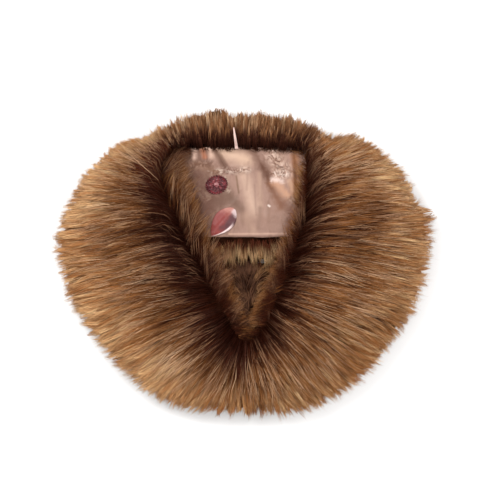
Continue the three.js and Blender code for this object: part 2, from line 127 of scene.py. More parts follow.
TONE_SPOTS = [
    ToneSpot((-200, 26), 20, -0.20),
    ToneSpot((-214, 58), 20, 0.10),
    ToneSpot((-186, -96), 24, 0.10),
    ToneSpot((-120, -142), 30, 0.18),
    ToneSpot((120, -140), 34, -0.06),
    ToneSpot((-112, 132), 16, -0.12),
    ToneSpot((-124, 160), 15, 0.18),
    ToneSpot((190, 66), 17, -0.32),
    ToneSpot((168, 40), 20, -0.12),
    ToneSpot((212, 92), 20, 0.16),
    ToneSpot((186, 124), 24, 0.12),
    ToneSpot((205, -46), 24, 0.12),
    ToneSpot((60, -178), 26, 0.08),
    ToneSpot((36, -124), 34, -0.32),
    ToneSpot((-26, -126), 36, -0.42),
    ToneSpot((-152, 138), 22, 0.14),
    ToneSpot((-196, 100), 24, 0.10),
    ToneSpot((142, 140), 22, 0.14),
]


@dataclass(frozen=True)
class RimSpot:
    """A place where the outline of the hair is drawn in or out, in millimetres."""

    centre: tuple[float, float]
    radius: float
    shift: tuple[float, float]


RIM_SPOTS = [
    RimSpot((-130, 166), 24, (5, -9)),
    RimSpot((-178, 132), 22, (3, -3)),
    RimSpot((-31, 188), 10, (0, 5)),
    RimSpot((-15, 188), 6, (0, -6)),
    RimSpot((18, 187), 8, (0, 3)),
    RimSpot((60, 180), 9, (0, 4)),
    RimSpot((113, 166), 15, (-7, -11)),
    RimSpot((142, 158), 12, (2, 3)),
    RimSpot((221, 88), 22, (-7, -3)),
    RimSpot((240, 58), 12, (8, 0)),
    RimSpot((-236, 30), 12, (-4, 0)),
]


@dataclass(frozen=True)
class Fold:
    """A soft ridge of the lining, in millimetres. skew above 0 makes its right side steeper."""

    start: tuple[float, float]
    end: tuple[float, float]
    width: float
    height: float
    skew: float = 0.0


@dataclass(frozen=True)
class Pucker:
    """A crumpled spot of the lining, in millimetres."""

    centre: tuple[float, float]
    radii: tuple[float, float]
    height: float
    pitch: float
    seed: int


FOLDS = [
    Fold((-67, 141), (-63, 121), 3.5, 2.6),
    Fold((-56, 142), (-54, 122), 3.5, 2.8),
    Fold((-44, 142), (-45, 118), 4.0, 2.6),
    Fold((-36, 140), (-20, 113), 5.0, 3.6, 0.55),
    Fold((-4, 138), (6, 42), 15.0, 2.8),
    Fold((16, 134), (47, 74), 6.0, 4.0, -0.35),
    Fold((34, 140), (44, 100), 5.0, 3.4, 0.3),
    Fold((56, 141), (62, 66), 5.0, 3.8),
    Fold((34, 66), (18, 36), 9.0, 2.2),
    Fold((-18, 113), (8, 115), 3.5, 1.8),
]
CREASES = [
    Fold((-61, 140), (-58, 126), 1.6, -1.5),
    Fold((-50, 140), (-50, 124), 1.6, -1.7),
    Fold((-39, 139), (-38, 128), 1.5, -1.3),
    Fold((-73, 138), (-70, 122), 1.8, 1.4),
    Fold((-30, 138), (-19, 118), 1.7, -1.6),
    Fold((10, 139), (33, 100), 2.2, -1.5),
    Fold((33, 100), (50, 72), 2.4, -1.7),
    Fold((22, 106), (24, 44), 3.4, -1.1),
    Fold((-12, 104), (-9, 78), 2.0, -0.8),
    Fold((-3, 106), (-8, 80), 1.8, 0.6),
    Fold((4, 92), (12, 60), 2.4, 0.7),
    Fold((48, 138), (52, 112), 1.8, -1.4),
    Fold((28, 141), (30, 122), 1.6, 1.2),
    Fold((65, 136), (69, 74), 2.4, -1.6),
    Fold((-24, 66), (-2, 82), 3.0, 0.8),
    Fold((-70, 112), (-48, 104), 2.6, 0.8),
    Fold((-66, 84), (-44, 70), 3.0, 0.7),
    Fold((36, 60), (52, 48), 2.4, 0.9),
]
PUCKERS = [
    Pucker((43, 121), (15, 20), 2.3, 6.0, 3),
    Pucker((-12, 115), (27, 5), 1.2, 4.0, 5),
    Pucker((62, 66), (11, 17), 2.0, 5.0, 8),
    Pucker((-56, 134), (16, 8), 1.0, 5.0, 13),
    Pucker((-36, 95), (22, 19), 0.7, 4.2, 17),
    Pucker((44, 52), (14, 9), 0.9, 5.0, 21),
    Pucker((18, 132), (14, 9), 0.7, 5.5, 34),
]


def spline(points: np.ndarray, at: np.ndarray) -> np.ndarray:
    """Reads a centripetal curve through the rows of a table.

    Args:
        points: One point for each row, of any number of coordinates.
        at: Fractional row numbers.

    Returns:
        A point for each value of at.
    """
    last = len(points) - 1
    row = np.clip(np.floor(at).astype(int), 0, last - 1)
    w = (at - row)[:, None]
    ends = np.vstack([2 * points[0] - points[1], points, 2 * points[-1] - points[-2]])
    p0, p1, p2, p3 = (ends[row + k] for k in range(4))

    def knot(a: np.ndarray, b: np.ndarray) -> np.ndarray:
        """Knot distance between two points."""
        return np.maximum(((a - b) ** 2).sum(1), 1e-8)[:, None] ** 0.25

    d0, d1, d2 = knot(p0, p1), knot(p1, p2), knot(p2, p3)
    t1 = ((p1 - p0) / d0 - (p2 - p0) / (d0 + d1) + (p2 - p1) / d1) * d1
    t2 = ((p2 - p1) / d1 - (p3 - p1) / (d1 + d2) + (p3 - p2) / d2) * d1
    return p1 + t1 * w + (3 * (p2 - p1) - 2 * t1 - t2) * w**2 + (2 * (p1 - p2) + t1 + t2) * w**3


def smooth(low: float, high: float, x: np.ndarray) -> np.ndarray:
    """Rises from 0 to 1 between two values, with soft ends."""
    t = np.clip((x - low) / (high - low), 0, 1)
    return t * t * (3 - 2 * t)


def unit(v: np.ndarray) -> np.ndarray:
    """Vectors of length one."""
    return v / np.maximum(np.linalg.norm(v, axis=-1, keepdims=True), 1e-9)


def drift(x: np.ndarray, y: np.ndarray, pitch: float, seed: int) -> np.ndarray:
    """A soft uneven field between about -1 and 1, with patches as wide as pitch.

    Args:
        x: Places across, in the unit of pitch.
        y: Places along.
        pitch: Size of a patch.
        seed: Picks one of the fields.

    Returns:
        The field's value at each place.
    """
    rng = np.random.default_rng(seed)
    total = np.zeros_like(x, dtype=float)
    for octave in range(6):
        angle = rng.uniform(0, 2 * math.pi)
        k = 2 * math.pi / (pitch * rng.uniform(1.1, 2.6)) * (1.6 if octave > 3 else 1)
        total += np.sin(k * (x * math.cos(angle) + y * math.sin(angle)) + rng.uniform(0, 2 * math.pi))
    return total / 2.6


def pick_only(piece: bpy.types.Object) -> None:
    """Deselects everything, then selects one piece and makes it active."""
    bpy.ops.object.select_all(action="DESELECT")
    piece.select_set(True)
    bpy.context.view_layer.objects.active = piece


def apply_modifier(piece: bpy.types.Object, kind: str, **values: object) -> None:
    """Adds a modifier to a piece and applies it.

    Args:
        piece: The piece.
        kind: Blender's name for the modifier's type.
        **values: The modifier's settings.
    """
    pick_only(piece)
    modifier = piece.modifiers.new(kind.lower(), kind)
    for name, value in values.items():
        setattr(modifier, name, value)
    bpy.ops.object.modifier_apply(modifier=modifier.name)


def new_piece(name: str, mesh: bpy.types.Mesh) -> bpy.types.Object:
    """Puts a mesh into the scene as a piece at the origin."""
    piece = bpy.data.objects.new(name, mesh)
    bpy.context.scene.collection.objects.link(piece)
    return piece


def grid_sheet(name: str, points: np.ndarray, wall: float) -> bpy.types.Object:
    """Makes a sheet of cloth from a grid of points, with its own UV map.

    Args:
        name: The piece's name.
        points: Rows by columns by three, in millimetres.
        wall: The cloth's thickness in millimetres.

    Returns:
        The piece, closed and shaded smooth.
    """
    rows, columns = points.shape[:2]
    corner = np.arange(rows * columns).reshape(rows, columns)
    quads = np.stack([corner[:-1, :-1], corner[:-1, 1:], corner[1:, 1:], corner[1:, :-1]], -1)
    quads = quads.reshape(-1, 4)
    mesh = bpy.data.meshes.new(name)
    mesh.from_pydata((points.reshape(-1, 3) * MM).tolist(), [], quads.tolist())
    u, v = np.meshgrid(np.linspace(0, 1, columns), np.linspace(0, 1, rows))
    places = np.stack([u, v], -1).reshape(-1, 2)[quads.ravel()]
    mesh.uv_layers.new(name="cloth").data.foreach_set("uv", places.ravel())
    piece = new_piece(name, mesh)
    apply_modifier(piece, "SOLIDIFY", thickness=wall * MM, offset=-1.0, use_even_offset=False)
    piece.data.shade_smooth()
    return piece


def node_group(name: str, inputs: dict[str, tuple[str, object]], outputs: dict[str, str]) -> tuple:
    """Starts a shader node group with named sockets.

    Args:
        name: The group's name.
        inputs: Socket type and default value by name.
        outputs: Socket type by name.

    Returns:
        The group, its wiring, its input sockets by name and its output node.
    """
    group = bpy.data.node_groups.new(name, "ShaderNodeTree")
    for label, (kind, value) in inputs.items():
        socket = group.interface.new_socket(name=label, in_out="INPUT", socket_type=kind)
        if value is not None:
            socket.default_value = value
    for label, kind in outputs.items():
        group.interface.new_socket(name=label, in_out="OUTPUT", socket_type=kind)
    start = group.nodes.new("NodeGroupInput")
    end = group.nodes.new("NodeGroupOutput")
    return group, Wiring(group), start.outputs, end


def start_material(name: str) -> tuple:
    """Starts a material.

    Args:
        name: The material's name.

    Returns:
        The material, its wiring and its shader.
    """
    material = bpy.data.materials.new(name)
    material.use_nodes = True
    return material, Wiring(material.node_tree), material.node_tree.nodes["Principled BSDF"]


class Wiring:
    """Adds nodes to a tree and joins them."""

    def __init__(self, tree: bpy.types.NodeTree) -> None:
        """Works on one node tree."""
        self.tree = tree

    def plug(self, node: bpy.types.Node, inputs: dict) -> None:
        """Joins sockets to a node's inputs, or sets their values.

        Args:
            node: The node.
            inputs: Values or sockets, by the input's name or number.
        """
        for key, value in inputs.items():
            if isinstance(value, bpy.types.NodeSocket):
                self.tree.links.new(value, node.inputs[key])
            else:
                node.inputs[key].default_value = value

    def add(self, kind: str, inputs: dict | None = None, **settings: object) -> bpy.types.Node:
        """Adds a node.

        Args:
            kind: The node's type, without its ShaderNode prefix.
            inputs: Values or sockets for its inputs, by name or number.
            **settings: The node's properties.

        Returns:
            The node.
        """
        node = self.tree.nodes.new("ShaderNode" + kind)
        for name, value in settings.items():
            setattr(node, name, value)
        self.plug(node, inputs or {})
        return node

    def blend(self, share: object, first: object, second: object) -> bpy.types.NodeSocket:
        """Mixes two colours and gives the mixed colour's socket."""
        colors = {6: first, 7: second}
        for key, color in colors.items():
            if not isinstance(color, bpy.types.NodeSocket):
                colors[key] = (*color, 1)
        return self.add("Mix", {0: share, **colors}, data_type="RGBA").outputs[2]

    def sum(self, kind: str, first: object, second: object = 0.0, clamp: bool = False) -> bpy.types.NodeSocket:
        """Does arithmetic on two values, and gives the answer's socket."""
        return self.add("Math", {0: first, 1: second}, operation=kind, use_clamp=clamp).outputs[0]

    def vector(self, kind: str, inputs: dict, output: str = "Vector") -> bpy.types.NodeSocket:
        """Does arithmetic on places, and gives the answer's socket."""
        return self.add("VectorMath", inputs, operation=kind).outputs[output]

    def noise(self, place: bpy.types.NodeSocket, scale: float, detail: float, **more: float) -> bpy.types.NodeSocket:
        """Adds an uneven field of values, and gives its socket."""
        return self.add("TexNoise", {"Vector": place, "Scale": scale, "Detail": detail, **more}).outputs["Fac"]

    def span(self, value: object, low: object, high: object, to: tuple[float, float] = (0, 1)) -> object:
        """Maps a value from a range to another with soft ends, and gives the answer's socket."""
        ends = {0: value, 1: low, 2: high, 3: to[0], 4: to[1]}
        return self.add("MapRange", ends, interpolation_type="SMOOTHSTEP").outputs[0]


def hair_colour_group() -> bpy.types.NodeTree:
    """Colour of a hair from root to tip, for a tone between dark and light.

    Returns:
        The node group, with the outputs Colour and Dryness.
    """
    group, w, get, end = node_group(
        "hair_colour",
        {"Tone": (VALUE, 0.5), "Along": (VALUE, 0.5),
         **{name: (COLOUR, (0.1, 0.1, 0.1, 1)) for name in HAIR_SHADES},
         "Turn low": (VALUE, 0.1), "Turn high": (VALUE, 0.8)},
        {"Colour": COLOUR, "Dryness": VALUE})
    root = w.blend(get["Tone"], get["Root dark"], get["Root light"])
    low = w.blend(w.sum("MULTIPLY", get["Tone"], 2.0), get["Tip dark"], get["Tip mid"])
    high = w.sum("MULTIPLY", w.sum("SUBTRACT", get["Tone"], 0.5), 2.0, clamp=True)
    tip = w.blend(high, low, get["Tip light"])
    turn = w.span(get["Along"], get["Turn low"], get["Turn high"])
    w.plug(end, {"Colour": w.blend(turn, root, tip), "Dryness": w.span(get["Along"], 0, 1, (0.42, 0.6))})
    return group


def weave_group() -> bpy.types.NodeTree:
    """Raised threads of a satin weave, for a place on the cloth in metres.

    Returns:
        The node group, with the outputs Height and Fleck.
    """
    group, w, get, end = node_group(
        "satin_threads", {"Place": (VECTOR, None), "Threads": (VALUE, 3.0)}, {"Height": VALUE, "Fleck": VALUE})
    place = w.vector("SCALE", {0: get["Place"], "Scale": w.sum("MULTIPLY", get["Threads"], 1000.0)})
    warp = w.add("TexWave", {"Vector": place, "Scale": 0.16, "Distortion": 1.5, "Detail": 1.0},
                 bands_direction="X", wave_profile="SIN").outputs["Fac"]
    stretch = w.add("Mapping", {"Vector": place, "Scale": (0.5, 0.06, 0.5)}).outputs[0]
    slub = w.noise(stretch, 1.0, 3.0)
    w.plug(end, {"Height": w.sum("ADD", w.sum("MULTIPLY", warp, 0.5), slub), "Fleck": w.span(slub, 0.35, 0.7)})
    return group


def stroke_group() -> bpy.types.NodeTree:
    """A soft uneven brush stroke between two places.

    Returns:
        The node group, with the output Mask, 1 along the stroke's middle and 0 outside.
    """
    group, w, get, end = node_group(
        "soft_stroke",
        {"Place": (VECTOR, None), "Start": (VECTOR, None), "Way": (VECTOR, None),
         "Width": (VALUE, 0.005), "Uneven": (VALUE, 0.3)},
        {"Mask": VALUE})
    level = w.vector("MULTIPLY", {0: get["Place"], 1: (1, 1, 0)})
    off = w.vector("SUBTRACT", {0: level, 1: get["Start"]})
    along = w.vector("DOT_PRODUCT", {0: off, 1: get["Way"]}, "Value")
    size = w.vector("DOT_PRODUCT", {0: get["Way"], 1: get["Way"]}, "Value")
    foot = w.vector("SCALE", {0: get["Way"], "Scale": w.sum("DIVIDE", along, size, clamp=True)})
    gap = w.vector("DISTANCE", {0: off, 1: foot}, "Value")
    noise = w.noise(get["Place"], 160.0, 4.0, Distortion=0.6)
    rough = w.sum("MULTIPLY", w.sum("SUBTRACT", noise, 0.5), get["Uneven"])
    far = w.sum("ADD", w.sum("DIVIDE", gap, get["Width"]), w.sum("MULTIPLY", rough, 2.0))
    w.plug(end, {"Mask": w.span(far, 1.15, -0.15)})
    return group


@dataclass(frozen=True)
class FurFinish:
    """A coat's colours, dark at the root, with tones from dark to light at the tip."""

    name: str
    root_dark: Color
    root_light: Color
    tip_dark: Color
    tip_mid: Color
    tip_light: Color
    turn: tuple[float, float]

    def build(self, group: bpy.types.NodeTree) -> bpy.types.Material:
        """Makes the material for hairs, which reads their own UV map.

        Args:
            group: The hair colour group.

        Returns:
            The material.
        """
        material, w, shader = start_material(self.name)
        parts = w.add("SeparateXYZ", {0: w.add("UVMap", uv_map="OFBake").outputs[0]})
        shades = (self.root_dark, self.root_light, self.tip_dark, self.tip_mid, self.tip_light)
        hair = w.add("Group", {
            **{label: (*shade, 1) for label, shade in zip(HAIR_SHADES, shades)},
            "Turn low": self.turn[0], "Turn high": self.turn[1],
            "Tone": parts.outputs["X"], "Along": parts.outputs["Y"]}, node_tree=group)
        w.plug(shader, {
            "Base Color": hair.outputs["Colour"], "Roughness": hair.outputs["Dryness"],
            "Specular IOR Level": 0.06, "Specular Tint": (1.0, 0.78, 0.6, 1)})
        return material


@dataclass(frozen=True)
class UnderfurFinish:
    """The dense wool under the hairs, dark near the neckline, of another colour past a ring.

    The ring gives the distances from the neck at which the colour starts and ends to change, in metres.
    """

    name: str
    deep: Color
    pale: Color
    outer: Color
    ring: tuple[float, float] = (0.13, 0.20)

    def build(self) -> bpy.types.Material:
        """Makes the material, with clumps of short fibre in its bump."""
        material, w, shader = start_material(self.name)
        place = w.add("TexCoord").outputs["Object"]
        clumps, fibre = w.noise(place, 70.0, 4.0, Roughness=0.6), w.noise(place, 900.0, 2.0)
        share = w.span(w.sum("ADD", clumps, w.sum("MULTIPLY", fibre, 0.4)), 0.5, 0.95)
        level = w.vector("MULTIPLY", {0: place, 1: (1, 1, 0)})
        far = w.vector("DISTANCE", {0: level, 1: (0, -0.02, 0)}, "Value")
        color = w.blend(w.span(far, *self.ring), w.blend(share, self.deep, self.pale), self.outer)
        bump = w.add("Bump", {"Height": fibre, "Strength": 0.6, "Distance": 0.001})
        w.plug(shader, {
            "Base Color": color, "Normal": bump.outputs[0], "Roughness": 0.9, "Specular IOR Level": 0.0})
        return material


@dataclass(frozen=True)
class Stroke:
    """A soft stroke of painted shade or a painted highlight on the lining, with its ends and half width in
    millimetres.
    """

    start: tuple[float, float]
    end: tuple[float, float]
    width: float
    color: Color
    share: float
    uneven: float = 0.35


@dataclass(frozen=True)
class SatinFinish:
    """A satin with fine threads, soft sheen and crinkled places, with painted shade in soft streaks and soft marks
    of painted shade and painted highlights.
    """

    name: str
    base: Color
    fleck: Color
    weave: Weave
    roughness: tuple[float, float]
    # Soft marks of painted shade and painted highlights.
    painted_shade_and_highlights: tuple[Stroke, ...] = ()
    crinkles: tuple[Stroke, ...] = ()
    # The colour of the painted shade in soft streaks across the cloth.
    shade: Color = (0.17, 0.095, 0.070)
    # The colour of the painted shade in the crinkles' creases.
    crinkle_shade: Color = (0.13, 0.055, 0.034)
    thread_height: float = 0.00005
    crinkle_height: float = 0.0012

    def build(self, threads: bpy.types.NodeTree, stroke: bpy.types.NodeTree) -> bpy.types.Material:
        """Makes the material.

        Args:
            threads: The group that raises the threads.
            stroke: The group that masks a soft stroke.

        Returns:
            The material.
        """
        material, w, shader = start_material(self.name)
        place = w.add("TexCoord").outputs["Object"]
        weave = w.add("Group", {"Threads": self.weave.value, "Place": place}, node_tree=threads).outputs
        color = w.blend(w.sum("MULTIPLY", weave["Fleck"], 0.5), self.base, self.fleck)
        if self.painted_shade_and_highlights:
            # Painted shade: soft darker streaks across the cloth.
            shade_streak_place = w.add("Mapping", {"Vector": place, "Scale": (110.0, 30.0, 60.0)}).outputs[0]
            shade_streak_mask = w.span(w.noise(shade_streak_place, 1.0, 3.0), 0.5, 0.68)
            color = w.blend(w.sum("MULTIPLY", shade_streak_mask, 0.55), color, self.shade)
        # Each mark paints shade or a highlight onto the colour.
        for one in self.painted_shade_and_highlights:
            color = w.blend(self.mask(w, place, stroke, one), color, one.color)
        crumple = 0.0
        if self.crinkles:
            fine = w.noise(place, 120.0, 2.0, Distortion=1.0)
            lines = w.noise(place, 80.0, 2.0, Distortion=2.0)
            # Painted highlights as pale specks and painted shade along the crease lines; the crease lines also shape
            # the bump.
            pale = w.sum("MULTIPLY", w.span(fine, 0.44, 0.58), 0.75)
            crease = w.span(w.sum("ABSOLUTE", w.sum("SUBTRACT", lines, 0.5)), 0.055, 0.0)
            raised = w.sum("SUBTRACT", fine, crease)
            for one in self.crinkles:
                mask = self.mask(w, place, stroke, one)
                color = w.blend(w.sum("MULTIPLY", mask, pale), color, one.color)
                color = w.blend(w.sum("MULTIPLY", mask, crease), color, self.crinkle_shade)
                crumple = w.sum("MAXIMUM", crumple, w.sum("MULTIPLY", mask, raised))
        height = w.sum("ADD", w.sum("MULTIPLY", weave["Height"], self.thread_height),
                       w.sum("MULTIPLY", crumple, self.crinkle_height))
        bump = w.add("Bump", {"Height": height, "Strength": 1.0, "Distance": 1.0})
        w.plug(shader, {
            "Base Color": color, "Roughness": w.span(weave["Fleck"], 0, 1, self.roughness),
            "Normal": bump.outputs[0], "Specular IOR Level": 0.20, "Specular Tint": (1.0, 0.85, 0.75, 1)})
        return material

    def mask(self, w: Wiring, place: bpy.types.NodeSocket, group: bpy.types.NodeTree, one: Stroke) -> object:
        """Adds a stroke's mask.

        Args:
            w: The material's wiring.
            place: The socket with the place on the cloth.
            group: The group that masks a soft stroke.
            one: The stroke.

        Returns:
            The socket of the mask, at the stroke's share.
        """
        (x0, y0), (x1, y1) = one.start, one.end
        node = w.add("Group", {
            "Place": place, "Start": (x0 * MM, y0 * MM, 0),
            "Way": ((x1 - x0 + 0.01) * MM, (y1 - y0) * MM, 0),
            "Width": one.width * MM, "Uneven": one.uneven}, node_tree=group)
        return w.sum("MULTIPLY", node.outputs[0], one.share)


@dataclass(frozen=True)
class ThreadFinish:
    """Glossy embroidery thread, in two shades."""

    name: str
    deep: Color
    pale: Color
    roughness: float = 0.35

    def build(self) -> bpy.types.Material:
        """Makes the material, with fine wound threads in its bump."""
        material, w, shader = start_material(self.name)
        place = w.add("TexCoord").outputs["Object"]
        wound = w.add("TexWave", {"Vector": place, "Scale": 420.0, "Distortion": 3.0, "Detail": 2.0})
        color = w.blend(w.span(w.noise(place, 260.0, 3.0), 0.42, 0.62), self.deep, self.pale)
        bump = w.add("Bump", {"Height": wound.outputs["Fac"], "Strength": 0.4, "Distance": 0.0002})
        w.plug(shader, {
            "Base Color": color, "Normal": bump.outputs[0], "Roughness": self.roughness,
            "Specular IOR Level": 0.25})
        return material


@dataclass(frozen=True)
class PetalFinish:
    """Rose satin that shades across a petal, from its own UV map, with painted shade down one side and painted
    highlights on its turned rim and near its tip.
    """

    name: str
    heart: Color
    blush: Color
    # plum is the colour of the painted shade down one side; rim is the colour of the painted highlights on the
    # turned rim and near the tip.
    plum: Color
    rim: Color

    def build(self, threads: bpy.types.NodeTree) -> bpy.types.Material:
        """Makes the material.

        Args:
            threads: The group that raises the threads.

        Returns:
            The material.
        """
        material, w, shader = start_material(self.name)
        cloth = w.add("SeparateXYZ", {0: w.add("UVMap", uv_map="cloth").outputs[0]}).outputs
        place = w.add("TexCoord").outputs["Object"]
        uneven = w.sum("MULTIPLY", w.sum("SUBTRACT", w.noise(place, 130.0, 4.0), 0.5), 0.35)
        across, along = w.sum("ADD", cloth["X"], uneven), w.sum("ADD", cloth["Y"], uneven)
        tip = w.sum("MULTIPLY", w.span(along, 0.62, 0.95), w.span(across, 0.75, 0.3))
        # Painted shade down one side, and painted highlights along the turned rim and near the tip.
        shaded = w.sum("MULTIPLY", w.span(across, 0.42, 0.72), w.span(along, 0.12, 0.5))
        turned = w.sum("MULTIPLY", w.span(cloth["X"], 0.86, 0.93), w.span(cloth["Y"], 0.72, 0.5))
        gleam = w.sum("MULTIPLY", w.span(along, 0.80, 0.98), w.span(across, 0.2, 0.6))
        color = w.blend(tip, self.heart, self.blush)
        color = w.blend(turned, w.blend(shaded, color, self.plum), self.rim)
        color = w.blend(w.sum("MULTIPLY", gleam, 0.6), color, self.rim)
        weave = w.add("Group", {"Place": place}, node_tree=threads)
        bump = w.add("Bump", {"Height": weave.outputs["Height"], "Strength": 0.2, "Distance": 0.0002})
        w.plug(shader, {
            "Base Color": color, "Normal": bump.outputs[0], "Roughness": 0.42, "Specular IOR Level": 0.28})
        return material


class Wardrobe:
    """All the wrap's finishes, built once."""

    def __init__(self) -> None:
        """Builds the shared groups and every material."""
        hair, threads, stroke = hair_colour_group(), weave_group(), stroke_group()
        self.coat = FurFinish(
            "long_pile", (0.013, 0.0026, 0.0013), (0.078, 0.018, 0.008),
            (0.058, 0.015, 0.0065), (0.455, 0.182, 0.058), (1.0, 0.67, 0.35), (0.31, 0.97)).build(hair)
        self.guard = FurFinish(
            "guard_pile", (0.030, 0.008, 0.005), (0.09, 0.031, 0.020),
            (0.13, 0.052, 0.030), (0.42, 0.22, 0.118), (0.88, 0.58, 0.35), (0.06, 0.58)).build(hair)
        self.fringe = FurFinish(
            "fringe_pile", (0.013, 0.003, 0.002), (0.070, 0.021, 0.012),
            (0.060, 0.020, 0.010), (0.41, 0.178, 0.074), (0.95, 0.66, 0.40), (0.30, 0.97)).build(hair)
        self.facing = FurFinish(
            "facing_pile", (0.014, 0.006, 0.0035), (0.060, 0.027, 0.015),
            (0.045, 0.019, 0.012), (0.16, 0.072, 0.040), (0.50, 0.26, 0.11), (0.05, 0.7)).build(hair)
        wool = (0.007, 0.002, 0.001), (0.022, 0.007, 0.0035)
        self.underfur = UnderfurFinish("underfur", *wool, wool[1]).build()
        self.front_underfur = UnderfurFinish("front_underfur", *wool, (0.20, 0.085, 0.032)).build()
        self.band_underfur = UnderfurFinish("band_underfur", *wool, (0.115, 0.046, 0.020), (0.188, 0.203)).build()
        # Colours of the lining's painted light and shade: dark and brown are painted shade in the gathers and folds
        # and the painted shadow of the fur over the cloth; pale and copper are painted highlights, and the palest
        # colour is a painted glint.
        dark, brown, copper = (0.075, 0.032, 0.020), (0.115, 0.055, 0.036), (0.36, 0.15, 0.068)
        pale, painted_glint = (0.42, 0.272, 0.198), (0.80, 0.68, 0.61)
        self.lining = SatinFinish(
            "copper_satin", (0.264, 0.157, 0.122), (0.312, 0.193, 0.152), Weave.SATIN, (0.28, 0.40),
            # Painted shade and painted highlights, one by one: the wide brown mark on the left is the fur's painted
            # shadow, the dark ones are shade in folds and between gathers, the pale ones are highlights on ridges.
            (Stroke((-88, 126), (-66, 34), 56, brown, 0.95),
             Stroke((-60, 108), (-52, 52), 26, (0.095, 0.040, 0.026), 0.75, 0.5),
             Stroke((-58, 66), (-32, 78), 26, (0.095, 0.041, 0.028), 0.88),
             Stroke((-21, 83), (-6, 66), 11, (0.14, 0.078, 0.056), 0.85),
             Stroke((-34, 74), (-20, 78), 10, (0.13, 0.070, 0.050), 0.7),
             Stroke((-28, 138), (2, 128), 15, (0.52, 0.35, 0.255), 0.95, 0.2),
             Stroke((-2, 112), (12, 62), 13, (0.49, 0.33, 0.25), 0.8, 0.25),
             Stroke((2, 56), (10, 40), 9, pale, 0.5),
             Stroke((-70, 142), (-70, 128), 4, dark, 0.8),
             Stroke((-62.5, 142), (-64, 130), 5, (0.50, 0.33, 0.26), 1.0, 0.5),
             Stroke((-54, 143), (-51, 132), 5, (0.36, 0.13, 0.065), 0.9, 0.5),
             Stroke((-45, 143), (-42, 132), 5.4, (0.52, 0.34, 0.26), 1.0, 0.5),
             Stroke((-38, 141), (-25, 118), 6, (0.085, 0.036, 0.022), 0.9, 0.2),
             Stroke((-60, 122), (-34, 112), 8, (0.17, 0.085, 0.052), 0.7),
             Stroke((-11, 107), (-8, 86), 1.8, (0.15, 0.085, 0.05), 0.8),
             Stroke((40, 136), (46, 112), 17, (0.40, 0.25, 0.185), 0.8),
             Stroke((8, 140), (26, 112), 10, (0.150, 0.076, 0.054), 0.8, 0.6),
             Stroke((22, 118), (34, 94), 8, (0.090, 0.036, 0.022), 0.75, 0.6),
             Stroke((12, 96), (14, 58), 2.2, (0.21, 0.125, 0.095), 0.5, 0.6),
             Stroke((4, 124), (2, 90), 2.6, (0.22, 0.13, 0.10), 0.4, 0.6),
             Stroke((32, 98), (46, 68), 9, (0.17, 0.072, 0.040), 0.85, 0.6),
             Stroke((39, 99), (54, 82), 9, (0.47, 0.26, 0.165), 0.85, 0.5),
             Stroke((50, 74), (60, 56), 8, (0.17, 0.075, 0.048), 0.65, 0.6),
             Stroke((18, 110), (20, 70), 5, pale, 0.5),
             Stroke((63, 132), (63, 84), 8, copper, 0.85),
             Stroke((56, 102), (60, 88), 6, (0.48, 0.29, 0.19), 0.6),
             Stroke((19, 66), (17, 42), 5, (0.20, 0.12, 0.09), 0.7),
             Stroke((29, 74), (30, 50), 4, (0.20, 0.115, 0.082), 0.55),
             Stroke((66, 66), (58, 42), 11, (0.14, 0.045, 0.030), 0.9),
             Stroke((70, 84), (72, 40), 6, dark, 0.7),
             Stroke((35, 103), (47, 101), 5.0, (0.68, 0.52, 0.46), 0.9, 0.7),
             Stroke((-4, 50), (58, 54), 17, (0.23, 0.132, 0.098), 0.4),
             Stroke((29.5, 70), (31, 69), 2.0, painted_glint, 0.7),
             Stroke((-20, 34), (52, 34.5), 1.8, (0.52, 0.33, 0.25), 0.6, 0.3),
             Stroke((-20, 31), (52, 31), 1.3, brown, 0.5, 0.1)),
            # Crinkled spots, with painted highlights in pale specks and painted shade in their creases.
            (Stroke((-36, 112), (4, 115), 6.5, (0.62, 0.46, 0.38), 0.95),
             Stroke((34, 134), (52, 112), 14, (0.60, 0.43, 0.35), 1.0),
             Stroke((30, 110), (52, 109), 6, (0.66, 0.52, 0.45), 1.0),
             Stroke((58, 78), (68, 70), 7, pale, 0.95),
             Stroke((56, 60), (62, 48), 7, (0.30, 0.15, 0.11), 0.9),
             Stroke((-68, 120), (-44, 122), 8, (0.36, 0.22, 0.16), 0.8),
             Stroke((-58, 92), (-46, 78), 9, (0.32, 0.21, 0.155), 0.45),
             Stroke((-25, 103), (-20, 86), 4.5, (0.46, 0.34, 0.27), 0.8),
             Stroke((-46, 112), (-28, 113), 4, (0.46, 0.34, 0.27), 0.7)),
        ).build(threads, stroke)
        self.wine = ThreadFinish("wine_thread", (0.058, 0.008, 0.010), (0.16, 0.024, 0.028)).build()
        self.wine_pale = ThreadFinish("rose_thread", (0.17, 0.040, 0.046), (0.40, 0.19, 0.19), 0.3).build()
        self.petal = PetalFinish(
            "rose_satin", (0.20, 0.032, 0.027), (0.40, 0.17, 0.135), (0.085, 0.028, 0.030),
            (0.80, 0.62, 0.60)).build(threads)
        self.ribbon = SatinFinish(
            "pale_ribbon", (0.62, 0.42, 0.37), (0.74, 0.56, 0.50), Weave.RIBBON,
            (0.35, 0.45)).build(threads, stroke)


